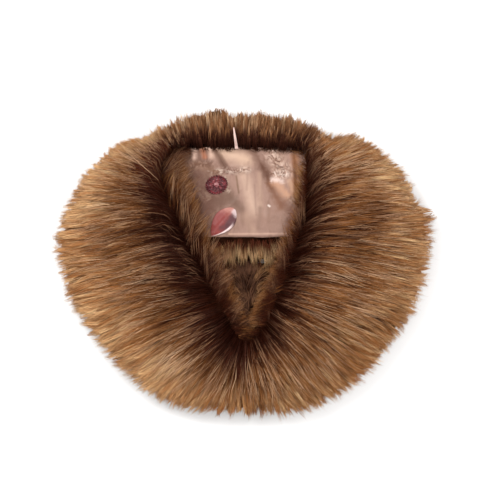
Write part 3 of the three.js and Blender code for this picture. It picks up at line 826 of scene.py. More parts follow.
@dataclass
class FurRing:
    """A half ring of fur: where its surface lies, for a row and a way along the hair.

    A way along the hair, arc, is in millimetres from the parting over the crest to the rim
    and back under it. The rows of under are shares of the undercut and of the rim's height.
    """

    side: Side
    tip_height: float = 19.0
    undercut: float = 0.17
    crest_at: float = 0.36
    rise_curve: float = 0.8
    fall_curve: float = 2.3
    under: tuple[tuple[float, float], ...] = ((0.25, 0.55), (0.65, 0.18), (1.0, 0.0))
    foot_top: float = 24.0
    rows_drawn: int = 133
    arcs_drawn: int = 96
    shares_drawn: int = 110

    def __post_init__(self) -> None:
        """Draws the surface as a grid of points, with its directions."""
        table = RING_ROWS[self.side]
        self.last = len(table) - 1.0
        self.parting = np.array([[*r.part, r.cleft] for r in table], float)
        self.tips = np.array([[*r.tip, r.crest] for r in table], float)
        self.flanks = np.array([[r.flank] * 3 for r in table], float)
        row = np.linspace(0, self.last, self.rows_drawn)
        part, tip = spline(self.parting, row), spline(self.tips, row)
        out = tip[:, :2] - part[:, :2]
        reach = np.linalg.norm(out, axis=1)
        out = out / reach[:, None]
        share = np.sin(np.linspace(0, math.pi / 2, self.shares_drawn))
        rise = np.sin(math.pi / 2 * np.minimum(1, share / self.crest_at)) ** self.rise_curve
        past = np.maximum(0, share - self.crest_at) / (1 - self.crest_at)
        fall = np.sqrt(np.clip(1 - past**self.fall_curve, 0, 1))
        under = np.array(self.under)
        points = np.zeros((self.rows_drawn, self.arcs_drawn, 3))
        self.whole, self.rim = np.zeros(self.rows_drawn), np.zeros(self.rows_drawn)
        for j in range(self.rows_drawn):
            cleft, crest = part[j, 2], tip[j, 2]
            z = np.where(share < self.crest_at, cleft + (crest - cleft) * rise,
                         self.tip_height + (crest - self.tip_height) * fall)
            u = np.concatenate([reach[j] * share, reach[j] * (1 - self.undercut * under[:, 0])])
            z = np.concatenate([z, self.tip_height * under[:, 1]])
            arc = np.concatenate([[0], np.cumsum(np.hypot(np.diff(u), np.diff(z)))])
            at = np.linspace(0, arc[-1], self.arcs_drawn)
            across = np.interp(at, arc, u)
            points[j, :, :2] = part[j, :2] + out[j] * across[:, None]
            points[j, :, 2] = np.interp(at, arc, z)
            self.whole[j], self.rim[j] = arc[-1], arc[self.shares_drawn - 1]
        self.points = points
        self.flow = unit(np.gradient(points, axis=1))
        sideways = np.gradient(points, axis=0) * (self.rows_drawn - 1) / self.last
        self.pitch = np.linalg.norm(sideways, axis=2)
        self.aside = unit(sideways - (sideways * self.flow).sum(2, keepdims=True) * self.flow)
        normal = np.cross(self.flow, self.aside)
        crest = slice(10, 30)
        self.normal = normal * np.sign(normal[:, crest, 2].mean())

    def read(self, grid: np.ndarray, row: np.ndarray, arc: np.ndarray) -> np.ndarray:
        """Reads a value of the drawn surface between its grid points.

        Args:
            grid: Any of the ring's grids.
            row: Fractional rows.
            arc: Ways along the hair, in millimetres.

        Returns:
            A value for each row and arc.
        """
        r = np.clip(row / self.last, 0, 1) * (self.rows_drawn - 1)
        a = np.clip(arc / np.interp(r, np.arange(self.rows_drawn), self.whole), 0, 1) * (self.arcs_drawn - 1)
        i = np.minimum(r.astype(int), self.rows_drawn - 2)
        k = np.minimum(a.astype(int), self.arcs_drawn - 2)
        fr, fa = r - i, a - k
        if grid.ndim == 3:
            fr, fa = fr[:, None], fa[:, None]
        return ((grid[i, k] * (1 - fa) + grid[i, k + 1] * fa) * (1 - fr)
                + (grid[i + 1, k] * (1 - fa) + grid[i + 1, k + 1] * fa) * fr)

    def rim_at(self, row: np.ndarray) -> np.ndarray:
        """How far along the hair the rim is, in millimetres."""
        return np.interp(row / self.last * (self.rows_drawn - 1), np.arange(self.rows_drawn), self.rim)

    def outward(self, row: np.ndarray) -> tuple[np.ndarray, np.ndarray, np.ndarray]:
        """The parting, the level direction of the hair and its reach at each row."""
        part, tip = spline(self.parting, row), spline(self.tips, row)
        out = tip - part
        out[:, 2] = 0
        return part, unit(out), np.linalg.norm(out, axis=1)


@dataclass
class Hairs:
    """Hairs to be made into a mesh: their paths in millimetres, widths and tones."""

    paths: np.ndarray
    widths: np.ndarray
    tones: np.ndarray
    lows: np.ndarray | None = None

    def __post_init__(self) -> None:
        """Starts each hair at its root's colour where nothing else is said."""
        if self.lows is None:
            self.lows = np.zeros(len(self.tones))

    @staticmethod
    def join(groups: list["Hairs"]) -> "Hairs":
        """Puts several lots of hairs together."""
        fields = ("paths", "widths", "tones", "lows")
        return Hairs(*(np.concatenate([getattr(g, name) for g in groups]) for name in fields))

    def pick(self, keep: np.ndarray) -> "Hairs":
        """The hairs that a mask or index keeps."""
        return Hairs(self.paths[keep], self.widths[keep], self.tones[keep], self.lows[keep])

    def build(self, name: str, material: bpy.types.Material, seed: int) -> bpy.types.Object:
        """Makes one closed, tapered, three-sided solid of each hair, all in one mesh.

        Args:
            name: The piece's name.
            material: Its finish.
            seed: Turns the hairs' sides.

        Returns:
            The piece.
        """
        paths = self.paths.copy()
        paths[..., 2] = np.maximum(paths[..., 2], 0.5)
        count, steps = paths.shape[:2]
        rng = np.random.default_rng(seed)
        along = unit(np.gradient(paths, axis=1))
        lean = unit(rng.normal(size=(count, 1, 3)) + np.array([0, 0, 1.2]))     # more often up than down
        across = unit(np.cross(along, lean))
        over = np.cross(along, across)
        taper = np.interp(np.linspace(0, 1, steps), (0, 0.3, 0.7, 1), (0.85, 1.0, 0.75, 0.0))
        radius = 0.5 * self.widths[:, None] * taper[None, :-1]
        rings = []
        for k in range(3):
            a = 2 * math.pi * k / 3
            ray = math.cos(a) * across[:, :-1] + math.sin(a) * over[:, :-1]
            rings.append(paths[:, :-1] + radius[..., None] * ray)
        body = np.stack(rings, 2).reshape(count, (steps - 1) * 3, 3)
        points = np.concatenate([body, paths[:, -1:]], 1)
        each = points.shape[1]
        quads = [[j * 3 + k, j * 3 + (k + 1) % 3, j * 3 + 3 + (k + 1) % 3, j * 3 + 3 + k]
                 for j in range(steps - 2) for k in range(3)]
        top = (steps - 2) * 3
        ends = [[top + k, top + (k + 1) % 3, each - 1] for k in range(3)] + [[0, 2, 1]]
        one = np.array([i for face in quads + ends for i in face])
        sizes = np.array([4] * len(quads) + [3] * len(ends))
        loops = (one[None] + (np.arange(count) * each)[:, None]).ravel()
        starts = np.concatenate([[0], np.cumsum(np.tile(sizes, count))[:-1]])
        mesh = bpy.data.meshes.new(name)
        mesh.vertices.add(count * each)
        mesh.vertices.foreach_set("co", (points * MM).astype(np.float32).ravel())
        mesh.loops.add(len(loops))
        mesh.loops.foreach_set("vertex_index", loops.astype(np.int32))
        mesh.polygons.add(len(starts))
        mesh.polygons.foreach_set("loop_start", starts.astype(np.int32))
        mesh.update(calc_edges=True)
        step = np.append(np.repeat(np.arange(steps - 1), 3), steps - 1) / (steps - 1)
        lean_u = np.append(np.tile([-1.0, 0.0, 1.0], steps - 1), 0.0) * 0.004
        uv = np.empty((count, len(one), 2))
        uv[..., 0] = np.clip(self.tones[:, None], 0.006, 0.994) + lean_u[one]
        low = self.lows[:, None]
        uv[..., 1] = np.clip(low + (1 - low) * step[one], 0.004, 0.996)
        mesh.uv_layers.new(name="OFBake").data.foreach_set("uv", uv.astype(np.float32).ravel())
        mesh.materials.append(material)
        mesh.shade_smooth()
        return new_piece(name, mesh)


def swing(start: np.ndarray, end: np.ndarray, leave: np.ndarray, arrive: np.ndarray) -> np.ndarray:
    """Curves from roots to tips that leave and arrive in given directions.

    Args:
        start: Roots, in millimetres.
        end: Tips.
        leave: Unit directions at the roots.
        arrive: Unit directions at the tips.

    Returns:
        Paths, one row for each hair with its points.
    """
    t = np.linspace(0, 1, STEPS)[None, :, None]
    size = np.linalg.norm(end - start, axis=1)[:, None, None]
    a, b, p, q = leave[:, None], arrive[:, None], start[:, None], end[:, None]
    return ((2 * t**3 - 3 * t**2 + 1) * p + (t**3 - 2 * t**2 + t) * size * a
            + (3 * t**2 - 2 * t**3) * q + (t**3 - t**2) * size * b)


def disc(rng: np.random.Generator, count: int) -> np.ndarray:
    """Random places in a circle of radius one."""
    a, r = rng.uniform(0, 2 * math.pi, count), np.sqrt(rng.random(count))
    return np.stack([r * np.cos(a), r * np.sin(a)], 1)


def shape_rim(paths: np.ndarray) -> np.ndarray:
    """Moves the hair in or out near the outline's notches and tufts.

    Args:
        paths: Paths, one row for each hair with its points.

    Returns:
        The same paths, moved.
    """
    for spot in RIM_SPOTS:
        near = np.exp(-((paths[..., :2] - np.array(spot.centre)) ** 2).sum(2) / spot.radius**2)
        paths[..., :2] += near[..., None] * np.array(spot.shift)
    return paths


FADE_AT = (0.28, 0.48, 0.72, 1.0)       # where a fade's tones lie, as shares of the way to the rim
STREAK_TONE = 0.22
CURL_ROWS = (1.2, 2.8, 6.0, 9.0)        # the hair at the parting curls between these rows


@dataclass
class CoatCut:
    """How a stretch of coat is sown and combed, in millimetres and degrees.

    Tones run from 0, dark, to 1, light. A lock is a bundle of hairs that gather at their tips. The
    hairs slow down at stop inside the rim and end by at most past beyond that place, less thin.
    """

    locks: int
    hairs: int = 18
    tries: int = 6
    length: tuple[float, float] = (58.0, 80.0)
    root_depth: tuple[float, float] = (4.0, 13.0)
    spread: float = 4.6
    gather: float = 0.72
    width: tuple[float, float] = (0.55, 0.95)
    wave: float = 1.6
    sway: float = 7.0
    ragged: float = 4.5
    tone: float = 0.45
    lock_tone: float = 0.13
    hair_tone: float = 0.09
    patch_tone: float = 0.07
    fade: tuple[float, ...] = (-0.36, -0.18, 0.0, 0.16)
    streaks: float = 0.08
    fuzz: float = 1.1
    loft: float = 2.5
    curl: float = 16.0
    spike: float = 3.4
    outer_low: float = 0.5
    inner_dark: float = 0.0
    stop: float = 8.0
    past: float = 11.0
    thin: float = 9.0
    steps: int = STEPS

    def sow(self, ring: FurRing, rows: tuple[float, float], roots: tuple[float, float], seed: int) -> Hairs:
        """Sows a coat over a ring's surface.

        Args:
            ring: The half ring.
            rows: First and last fractional row.
            roots: Nearest and furthest root, as shares of the way to the rim.
            seed: Makes the coat the same each time.

        Returns:
            The hairs.
        """
        rng = np.random.default_rng(seed)
        many = self.locks * self.tries
        row = rng.uniform(*rows, many)
        rim = ring.rim_at(row)
        root = rim * rng.uniform(*roots, many)
        weight = ring.read(ring.pitch, row, root) * (1 + 1.5 * np.exp(-root / 10))
        keep = rng.choice(many, self.locks, replace=False, p=weight / weight.sum())
        row, root, rim = row[keep], root[keep], rim[keep]
        place = ring.read(ring.points, row, root)
        length = rng.uniform(*self.length, self.locks)
        lift = rng.normal(0, 0.45, self.locks) * self.ragged
        swirl = self.sway * drift(place[:, 0], place[:, 1], 70, seed + 1)
        swirl = swirl + rng.normal(0, 2.5, self.locks)
        tone = (self.tone + self.patch_tone * drift(place[:, 0], place[:, 1], 45, seed + 2)
                + rng.normal(0, self.lock_tone, self.locks)
                + STREAK_TONE * (rng.random(self.locks) < self.streaks))
        spike = rng.normal(0, self.spike, self.locks).clip(-5, 9)
        phase, beats = rng.uniform(0, 2 * math.pi, self.locks), rng.uniform(0.5, 1.3, self.locks)
        lock = np.repeat(np.arange(self.locks), self.hairs)
        count = len(lock)
        at_root, at_tip = disc(rng, count) * self.spread, disc(rng, count)
        ends = smooth(-70, -20, (root + length - rim)[lock])[:, None]
        at_tip = at_tip * (1.3 - 0.8 * ends) + at_root * (1 - self.gather) * (1 - 0.75 * ends)
        pitch = ring.read(ring.pitch, row[lock], root[lock])
        row0 = row[lock] + at_root[:, 0] / pitch
        arc0 = np.maximum(root[lock] + at_root[:, 1] - 2, 0)
        long = length[lock] * rng.uniform(0.78, 1.06, count)
        arc1 = root[lock] + at_tip[:, 1] + long
        end_pitch = ring.read(ring.pitch, row[lock], np.minimum(root[lock] + long, rim[lock]))
        shift = at_tip[:, 0] + np.radians(swirl[lock]) * long + rng.normal(0, self.fuzz, count)
        row1 = row[lock] + shift / end_pitch
        inside = ring.last + 0.05
        row0 = np.clip(row0, max(0, rows[0] - 0.1), inside)
        row1 = np.clip(row1, max(0, rows[0] - 0.25), inside)
        over = arc1 - rim[lock]
        slowed = rim[lock] - self.stop + self.past * np.tanh((over + self.stop) / 30)
        arc1 = np.where(over > -self.stop, slowed - self.thin * rng.random(count), arc1)
        near = smooth(-50, 0, arc1 - rim[lock])
        stray = (rng.random(count) < 0.05) * rng.uniform(1, 6, count) * near
        end, up1 = ring.read(ring.points, row1, arc1), ring.read(ring.normal, row1, arc1)
        sink = rng.uniform(*self.root_depth, count) * (0.08 + 0.92 * smooth(4, 42, arc0))
        rise = lift[lock] * (0.35 + 0.65 * near) + rng.normal(0, 0.7, count)
        end = end + up1 * (rise + 1.5 * near + stray)[:, None]
        end = end + ring.outward(row1)[1] * (spike[lock] * smooth(-14, 0, arc1 - rim[lock]))[:, None]
        loft = rng.uniform(0, self.loft, self.locks)[lock] + rng.normal(0, 0.5, count)
        first, full, late, last = CURL_ROWS
        curl = self.curl * smooth(40, 4, arc0) * smooth(first, full, row0) * smooth(last, late, row0)
        curl = curl * rng.uniform(0.4, 1.3, count) / pitch
        paths = np.empty((count, self.steps, 3))
        paths[:, -1] = end
        for k in range(self.steps - 1):
            t = k / (self.steps - 1)
            row_k, arc_k = row0 + (row1 - row0) * t + curl * (1 - t) ** 4, arc0 + (arc1 - arc0) * t
            high = -sink * (1 - t) ** 3 + rise * t + loft * math.sin(math.pi * t)
            up = ring.read(ring.normal, row_k, arc_k)
            paths[:, k] = ring.read(ring.points, row_k, arc_k) + up * high[:, None]
        out = ring.outward(row0)[1]
        paths[:, 0] -= out * (smooth(7, 1, arc0) * rng.uniform(1, 5, count))[:, None]
        side = ring.read(ring.aside, row1, arc1)[:, None]
        t = np.linspace(0, 1, self.steps)[None, :]
        bend = self.wave * t * np.sin(phase[lock][:, None] + 2 * math.pi * beats[lock][:, None] * t)
        bend = bend + rng.normal(0, 0.35, (count, 1)) * np.sin(math.pi * t * 2)
        paths = paths + side * bend[..., None]
        shade = tone[lock] + rng.normal(0, self.hair_tone, count) * (1.15 - 0.5 * near)
        shade = shade + np.interp(arc1 / rim[lock], FADE_AT, self.fade)
        for spot in TONE_SPOTS:
            off = ((end[:, :2] - np.array(spot.centre)) ** 2).sum(1) / spot.radius**2
            shade = shade + spot.tone * np.exp(-off)
        way = arc0 / rim[lock]
        lows = self.outer_low * smooth(0.2, 0.65, way) - self.inner_dark * smooth(0.30, 0.05, way)
        return Hairs(shape_rim(paths), rng.uniform(*self.width, count), np.clip(shade, 0, 1), lows)


@dataclass
class SkirtCut:
    """The lower hair at the rim, which lies outwards and hangs down over the side, in millimetres.

    A hair ends at one of the heights, short of the ring's reach, and comes from a root that is
    higher by its drop and never above top.
    """

    locks: int
    hairs: int
    length: tuple[float, float]
    tone: float
    drop: tuple[float, float]
    steep: float
    top: float
    width: float = 0.85
    ragged: float = 2.6
    low: float = 0.45
    short: float = 1.0
    heights: tuple[float, float] = (1.5, 19.0)

    def sow(self, ring: FurRing, rows: tuple[float, float], seed: int) -> Hairs:
        """Sows the skirt along the rim.

        Args:
            ring: The half ring.
            rows: First and last fractional row.
            seed: Makes it the same each time.

        Returns:
            The hairs.
        """
        rng = np.random.default_rng(seed)
        row = rng.uniform(*rows, self.locks)
        high = rng.uniform(*self.heights, self.locks)
        lock = np.repeat(np.arange(self.locks), self.hairs)
        count = len(lock)
        part, out, reach = ring.outward(row[lock])
        aside = np.stack([-out[:, 1], out[:, 0], np.zeros(count)], 1)
        spot = disc(rng, count)
        tip_z = np.maximum(high[lock] + spot[:, 0] * 1.2, 0.7)
        edge = 1 - ring.undercut * (1 - np.clip(tip_z / ring.tip_height, 0, 1) ** 0.6) * 0.8
        tip_u = reach * edge + rng.normal(0, self.ragged, self.locks)[lock]
        tip_u = tip_u + rng.normal(0, 1.0, count) - self.short
        flat = part * np.array([1, 1, 0])
        tip = flat + out * tip_u[:, None] + aside * (spot[:, 1] * 0.7)[:, None]
        tip[:, 2] = tip_z
        long = rng.uniform(*self.length, count)
        spread = spot[:, 1] * 3.4 + rng.normal(0, 1, count)
        root = flat + out * (tip_u - long)[:, None] + aside * spread[:, None]
        root[:, 2] = np.clip(tip_z + rng.uniform(*self.drop, count), 3, self.top)
        leave = unit(out + np.array([0, 0, 0.12]))
        arrive = unit(out - np.array([0, 0, self.steep]))
        shade = self.tone + rng.normal(0, 0.13, self.locks)[lock] + rng.normal(0, 0.10, count)
        paths = shape_rim(swing(root, tip, leave, arrive))
        widths = rng.uniform(0.7, 1.1, count) * self.width
        return Hairs(paths, widths, np.clip(shade, 0, 1), np.full(count, self.low))


@dataclass
class FlankCut:
    """The hair inside the parting, which rolls in over the lining and the facing, in millimetres.

    The slants, in radians, and the tones lie evenly along the neckline from the back to the centre.
    """

    locks: int
    hairs: int = 12
    tries: int = 5
    length: tuple[float, float] = (22.0, 40.0)
    width: float = 0.6
    tone: float = 0.36
    slant: tuple[float, ...] = (0.0, 0.0)
    over: float = 5.0
    tones: tuple[float, ...] = (0.0, 0.0)
    foot_tone: float = 0.0
    stray: float = 0.24
    reach: float = 1.6
    lowest_tip: float = 22.6

    def sow(self, ring: FurRing, rows: tuple[float, float], seed: int) -> Hairs:
        """Sows the flank along the parting.

        Args:
            ring: The half ring.
            rows: First and last fractional row.
            seed: Makes it the same each time.

        Returns:
            The hairs.
        """
        rng = np.random.default_rng(seed)
        many = self.locks * self.tries
        row = rng.uniform(*rows, many)
        flank = spline(ring.flanks, row)[:, 0]
        keep = rng.choice(many, self.locks, replace=False, p=(flank + 2) / (flank + 2).sum())
        row, flank = row[keep], flank[keep]
        start_share = rng.random(self.locks) * 0.8 - 0.1
        lock = np.repeat(np.arange(self.locks), self.hairs)
        count = len(lock)
        spot, end_spot = disc(rng, count), disc(rng, count)
        part, out, _ = ring.outward(row[lock])
        turn = -1.0 if ring.side is Side.LEFT else 1.0
        aside = np.stack([-out[:, 1], out[:, 0], np.zeros(count)], 1) * turn
        wide = flank[lock]
        level = part * np.array([1, 1, 0])
        cleft = part[:, 2]

        def height(share: np.ndarray) -> np.ndarray:
            """Height of the flank's surface for shares from the parting to its foot."""
            s = np.clip(share, 0, 1)
            roll = cleft + (ring.foot_top - cleft) * smooth(0, 1, s)
            return roll + 5 * smooth(0, 12, wide) * np.sin(math.pi * s) * 0.8

        root_u = wide * start_share[lock] - 1.5 + spot[:, 0] * 3.0 + rng.normal(0, 2.2, count)
        long = rng.uniform(*self.length, count)
        slant = np.interp(row[lock] / ring.last, np.linspace(0, 1, len(self.slant)), self.slant)
        slant = slant + rng.normal(0, self.stray, self.locks)[lock]
        tip_u = np.minimum(root_u + long * np.cos(slant), wide + 1 + self.over * rng.random(count) ** self.reach)
        shift = long * np.sin(slant) + spot[:, 1] * 3.0
        spread = spot[:, 1] * 3.6 + rng.normal(0, 3.5, count)
        root = level - out * root_u[:, None] + aside * spread[:, None]
        root[:, 2] = height(root_u / np.maximum(wide, 1)) - rng.uniform(0.2, 1.6, count)
        tip = level - out * tip_u[:, None] + aside * (shift + end_spot[:, 1] * 1.2)[:, None]
        tip_z = height(tip_u / np.maximum(wide, 1)) + rng.normal(0.3, 0.8, count)
        tip[:, 2] = np.maximum(tip_z, self.lowest_tip)
        inward = unit(tip - root)
        leave = unit(inward + np.array([0, 0, 0.75]))
        arrive = unit(inward + np.array([0, 0, -0.45]))
        shade = self.tone + rng.normal(0, 0.10, self.locks)[lock] + rng.normal(0, 0.10, count)
        shade = shade + np.interp(row[lock] / ring.last, np.linspace(0, 1, len(self.tones)), self.tones)
        foot = smooth(4, 14, wide) * (np.clip(tip_u / np.maximum(wide, 1), 0, 1.3) - 0.7)
        shade = shade + self.foot_tone * foot
        widths = rng.uniform(0.7, 1.1, count) * self.width
        return Hairs(swing(root, tip, leave, arrive), widths, np.clip(shade, 0, 1))


def dress(piece: bpy.types.Object) -> None:
    """Fixes a piece on the wrap and reports it."""
    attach(piece, "root")
    triangles = sum(len(p.vertices) - 2 for p in piece.data.polygons)
    LOG.info("%s: %d triangles", piece.name, triangles)


@dataclass
class Underfur:
    """The dense body under the hairs, shrunk from a copy of its solid, less so near tight places.

    It is drawn in by inset, in millimetres, and by hold alone within near of a tight place.
    """

    node: str
    slot: str
    inset: float
    tight: np.ndarray
    voxel: float = 4.6
    relief: float = 1.5
    rubs: int = 4
    hold: float = 0.5
    near: tuple[float, float] = (5.0, 26.0)
    floor: float = 0.4

    def build(self, name: str, material: bpy.types.Material) -> bpy.types.Object:
        """Copies the solid's mesh, closes it, draws it in and roughens it.

        Args:
            name: The piece's name.
            material: Its finish.

        Returns:
            The piece, which replaces the node.
        """
        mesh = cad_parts[self.node].data.copy()
        mesh.name = name
        mesh.materials.clear()
        piece = new_piece(name, mesh)
        shape = bmesh.new()
        shape.from_mesh(mesh)
        bmesh.ops.remove_doubles(shape, verts=shape.verts, dist=2e-6)
        shape.to_mesh(mesh)
        shape.free()
        apply_modifier(piece, "REMESH", mode="VOXEL", voxel_size=self.voxel * MM)
        apply_modifier(piece, "SMOOTH", factor=0.5, iterations=self.rubs)
        self.draw_in(piece.data)
        piece.data.materials.append(material)
        piece.data.shade_smooth()
        dress(piece)
        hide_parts(self.node)
        return piece

    def draw_in(self, mesh: bpy.types.Mesh) -> None:
        """Moves a mesh's points inwards, follows the rim's notches and flattens the underside."""
        count = len(mesh.vertices)
        place, normal = np.empty(count * 3), np.empty(count * 3)
        mesh.vertices.foreach_get("co", place)
        mesh.vertices.foreach_get("normal", normal)
        place, normal = place.reshape(-1, 3), normal.reshape(-1, 3)
        flat = place[:, None, :2] / MM - self.tight[None]
        loose = smooth(*self.near, np.sqrt((flat**2).sum(2).min(1)))
        uneven = self.relief * drift(place[:, 0] / MM, place[:, 1] / MM, 14, 77)
        place = place - normal * ((self.hold + loose * (self.inset - self.hold + uneven)) * MM)[:, None]
        for spot in RIM_SPOTS:
            near = np.exp(-((place[:, :2] / MM - np.array(spot.centre)) ** 2).sum(1) / spot.radius**2)
            place[:, :2] += near[:, None] * np.array(spot.shift) * MM
        low = place[:, 2] < (self.inset + self.relief + 1.2) * MM
        place[low & (normal[:, 2] < -0.5), 2] = self.floor * MM
        place[:, 2] = np.maximum(place[:, 2], self.floor * MM)
        mesh.vertices.foreach_set("co", place.ravel())
        mesh.update()


@dataclass
class FrontFur:
    """One front of the wrap: its body, its coat, its flank, its skirt and its fine hairs."""

    side: Side
    wardrobe: Wardrobe
    coat_locks: int = 1390
    guard_locks: int = 760
    tone: float = 0.45
    fade: tuple[float, ...] = (-0.42, -0.20, 0.04, 0.26)
    spike: float = 3.4
    outer_low: float = 0.5
    inner_dark: float = 0.05
    hair_tone: float = 0.12
    guard_tone: float = 0.15
    split_row: float = 6.6
    seed: int = 11

    def build(self) -> None:
        """Makes the front's pieces."""
        name = self.side.value
        ring = FurRing(self.side)
        first, last = CORNER_ROW + 0.04, ring.last
        body = Underfur(f"{name}_front_fur", "brown_fur", 6.7, self.tight_places(ring), hold=1.8)
        body = body.build(f"{name}_front_underfur", self.wardrobe.front_underfur)
        coat = CoatCut(
            self.coat_locks, hairs=10, spread=3.8, gather=0.6, width=(0.5, 0.85), tone=self.tone,
            lock_tone=0.07, hair_tone=self.hair_tone, fade=self.fade, spike=self.spike,
            outer_low=self.outer_low, inner_dark=self.inner_dark)
        coat = coat.sow(ring, (first, last), (0.0, 0.78), self.seed)
        guard = CoatCut(
            self.guard_locks, hairs=2, length=(50, 92), spread=2.2, gather=0.2, width=(0.3, 0.5),
            wave=2.2, sway=9, ragged=1.5, tone=0.52, lock_tone=self.guard_tone,
            fade=(-0.2, -0.05, 0.0, 0.1), inner_dark=self.inner_dark, steps=5)
        guard = guard.sow(ring, (first, last), (0.0, 0.5), self.seed + 3)
        guard.paths[..., 2] += 1.0
        upper = coat.paths[:, 0, 1] > spline(ring.parting, np.array([self.split_row]))[0, 1]
        skirt = SkirtCut(290, hairs=8, length=(12, 20), tone=self.tone + self.fade[3] - 0.08,
                         drop=(5, 12), steep=0.9, top=26.0)
        lots = (
            ("shoulder_pile", coat.pick(upper), self.wardrobe.coat, 0),
            ("breast_pile", coat.pick(~upper), self.wardrobe.coat, 1),
            ("rim_pile", skirt.sow(ring, (first, last), self.seed + 5), self.wardrobe.coat, 2),
            ("flank_pile", self.flank_cut().sow(ring, (first - 0.3, last), self.seed + 9),
             self.wardrobe.coat, 3),
            ("guard_hairs", guard, self.wardrobe.guard, 8),
            ("haze", self.haze(ring), self.wardrobe.guard, 6),
        )
        for label, hairs, material, turn in lots:
            dress(hairs.build(f"{name}_{label}", material, self.seed + turn))

    def flank_cut(self) -> FlankCut:
        """How the flank is sown."""
        if self.side is Side.LEFT:
            return FlankCut(
                210, hairs=11, width=0.52, over=14, tone=0.33, foot_tone=0.25,
                slant=(0.2, 0.5, 0.8, 1.0, 0.8, 0.3, -0.3, -0.6),
                tones=(-0.6, -0.6, -0.4, 0.02, 0.0, -0.1, -0.04, -0.14, -0.28))
        return FlankCut(
            160, hairs=10, width=0.52, over=9, tone=0.25, foot_tone=0.35, stray=0.32,
            slant=(0.1, 0.3, 0.5, 0.3, -0.2, -0.6, -0.8),
            tones=(0.0, 0.06, 0.24, 0.2, -0.12, 0.06, 0.02, -0.06, -0.1))

    def haze(self, ring: FurRing) -> Hairs:
        """Sows the fine long hairs: over the lining, the parting, the outer coat and the inner corner.

        Args:
            ring: The half ring.

        Returns:
            The hairs.
        """
        left = self.side is Side.LEFT
        haze = FlankCut(
            64 if left else 26, hairs=9, length=(26, 52), width=0.3, tone=0.26 if left else 0.14,
            slant=(0.3, 0.6, 0.9, 0.9, 0.6, 0.1, -0.5), over=40 if left else 10,
            tones=(-0.45, -0.4, 0.08, 0.16, 0.0, -0.08, -0.12), stray=0.34, reach=0.8)
        stray = CoatCut(44 if left else 14, hairs=1, length=(12, 24), width=(0.26, 0.34), wave=3,
                        sway=50, ragged=4, tone=0.62)
        stray = stray.sow(ring, (5.0, 7.4) if left else (5.4, 9.6), (0.0, 0.1), self.seed + 4)
        stray.paths[..., 2] += 2.0
        outer = CoatCut(640, hairs=1, length=(34, 52), width=(0.22, 0.34), ragged=3, tone=0.85,
                        spike=5.0, outer_low=0.7)
        outer = outer.sow(ring, (CORNER_ROW, 7.0), (0.45, 0.85), self.seed + 15)
        corner = CoatCut(120, hairs=1, length=(22, 40), width=(0.3, 0.44), wave=2, sway=14, ragged=3,
                         tone=0.4, outer_low=0.0, inner_dark=-0.42)
        corner = corner.sow(ring, (CORNER_ROW - 0.4, CORNER_ROW + 1.7), (0.02, 0.4), self.seed + 17)
        corner.paths[..., 2] += 2.4
        lots = [haze.sow(ring, (2.4, 9.5) if left else (5.2, 9.5), self.seed + 12), stray, outer, corner]
        if left:
            lots.append(self.long_hair(ring, (-108, 101), (-160, 147)))
        return Hairs.join(lots)

    def long_hair(self, ring: FurRing, start: tuple[float, float], end: tuple[float, float]) -> Hairs:
        """One long pale hair that lies over the coat.

        Args:
            ring: The half ring.
            start: Where it starts, in millimetres.
            end: Where it ends.

        Returns:
            The hair.
        """
        share = np.linspace(0, 1, STEPS)[:, None]
        flat = np.array(start) * (1 - share) + np.array(end) * share
        flat = flat + np.array([1.2, 1.2]) * share * (1 - share)
        surface = ring.points.reshape(-1, 3)
        nearest = [((surface[:, :2] - place) ** 2).sum(1).argmin() for place in flat]
        path = np.column_stack([flat, surface[nearest, 2] + 9.5])
        return Hairs(path[None], np.array([0.5]), np.array([0.78]), np.array([0.5]))

    def tight_places(self, ring: FurRing) -> np.ndarray:
        """Places where the underfur stays close to its solid: the parting, the flank and the centre."""
        row = np.linspace(CORNER_ROW, ring.last, 90)
        part, out, _ = ring.outward(row)
        foot = part - out * spline(ring.flanks, row)
        centre = np.stack([np.full(24, 2.5), np.linspace(-98, -186, 24)], 1)
        return np.concatenate([part[:, :2], foot[:, :2], (part[:, :2] + foot[:, :2]) / 2, centre])


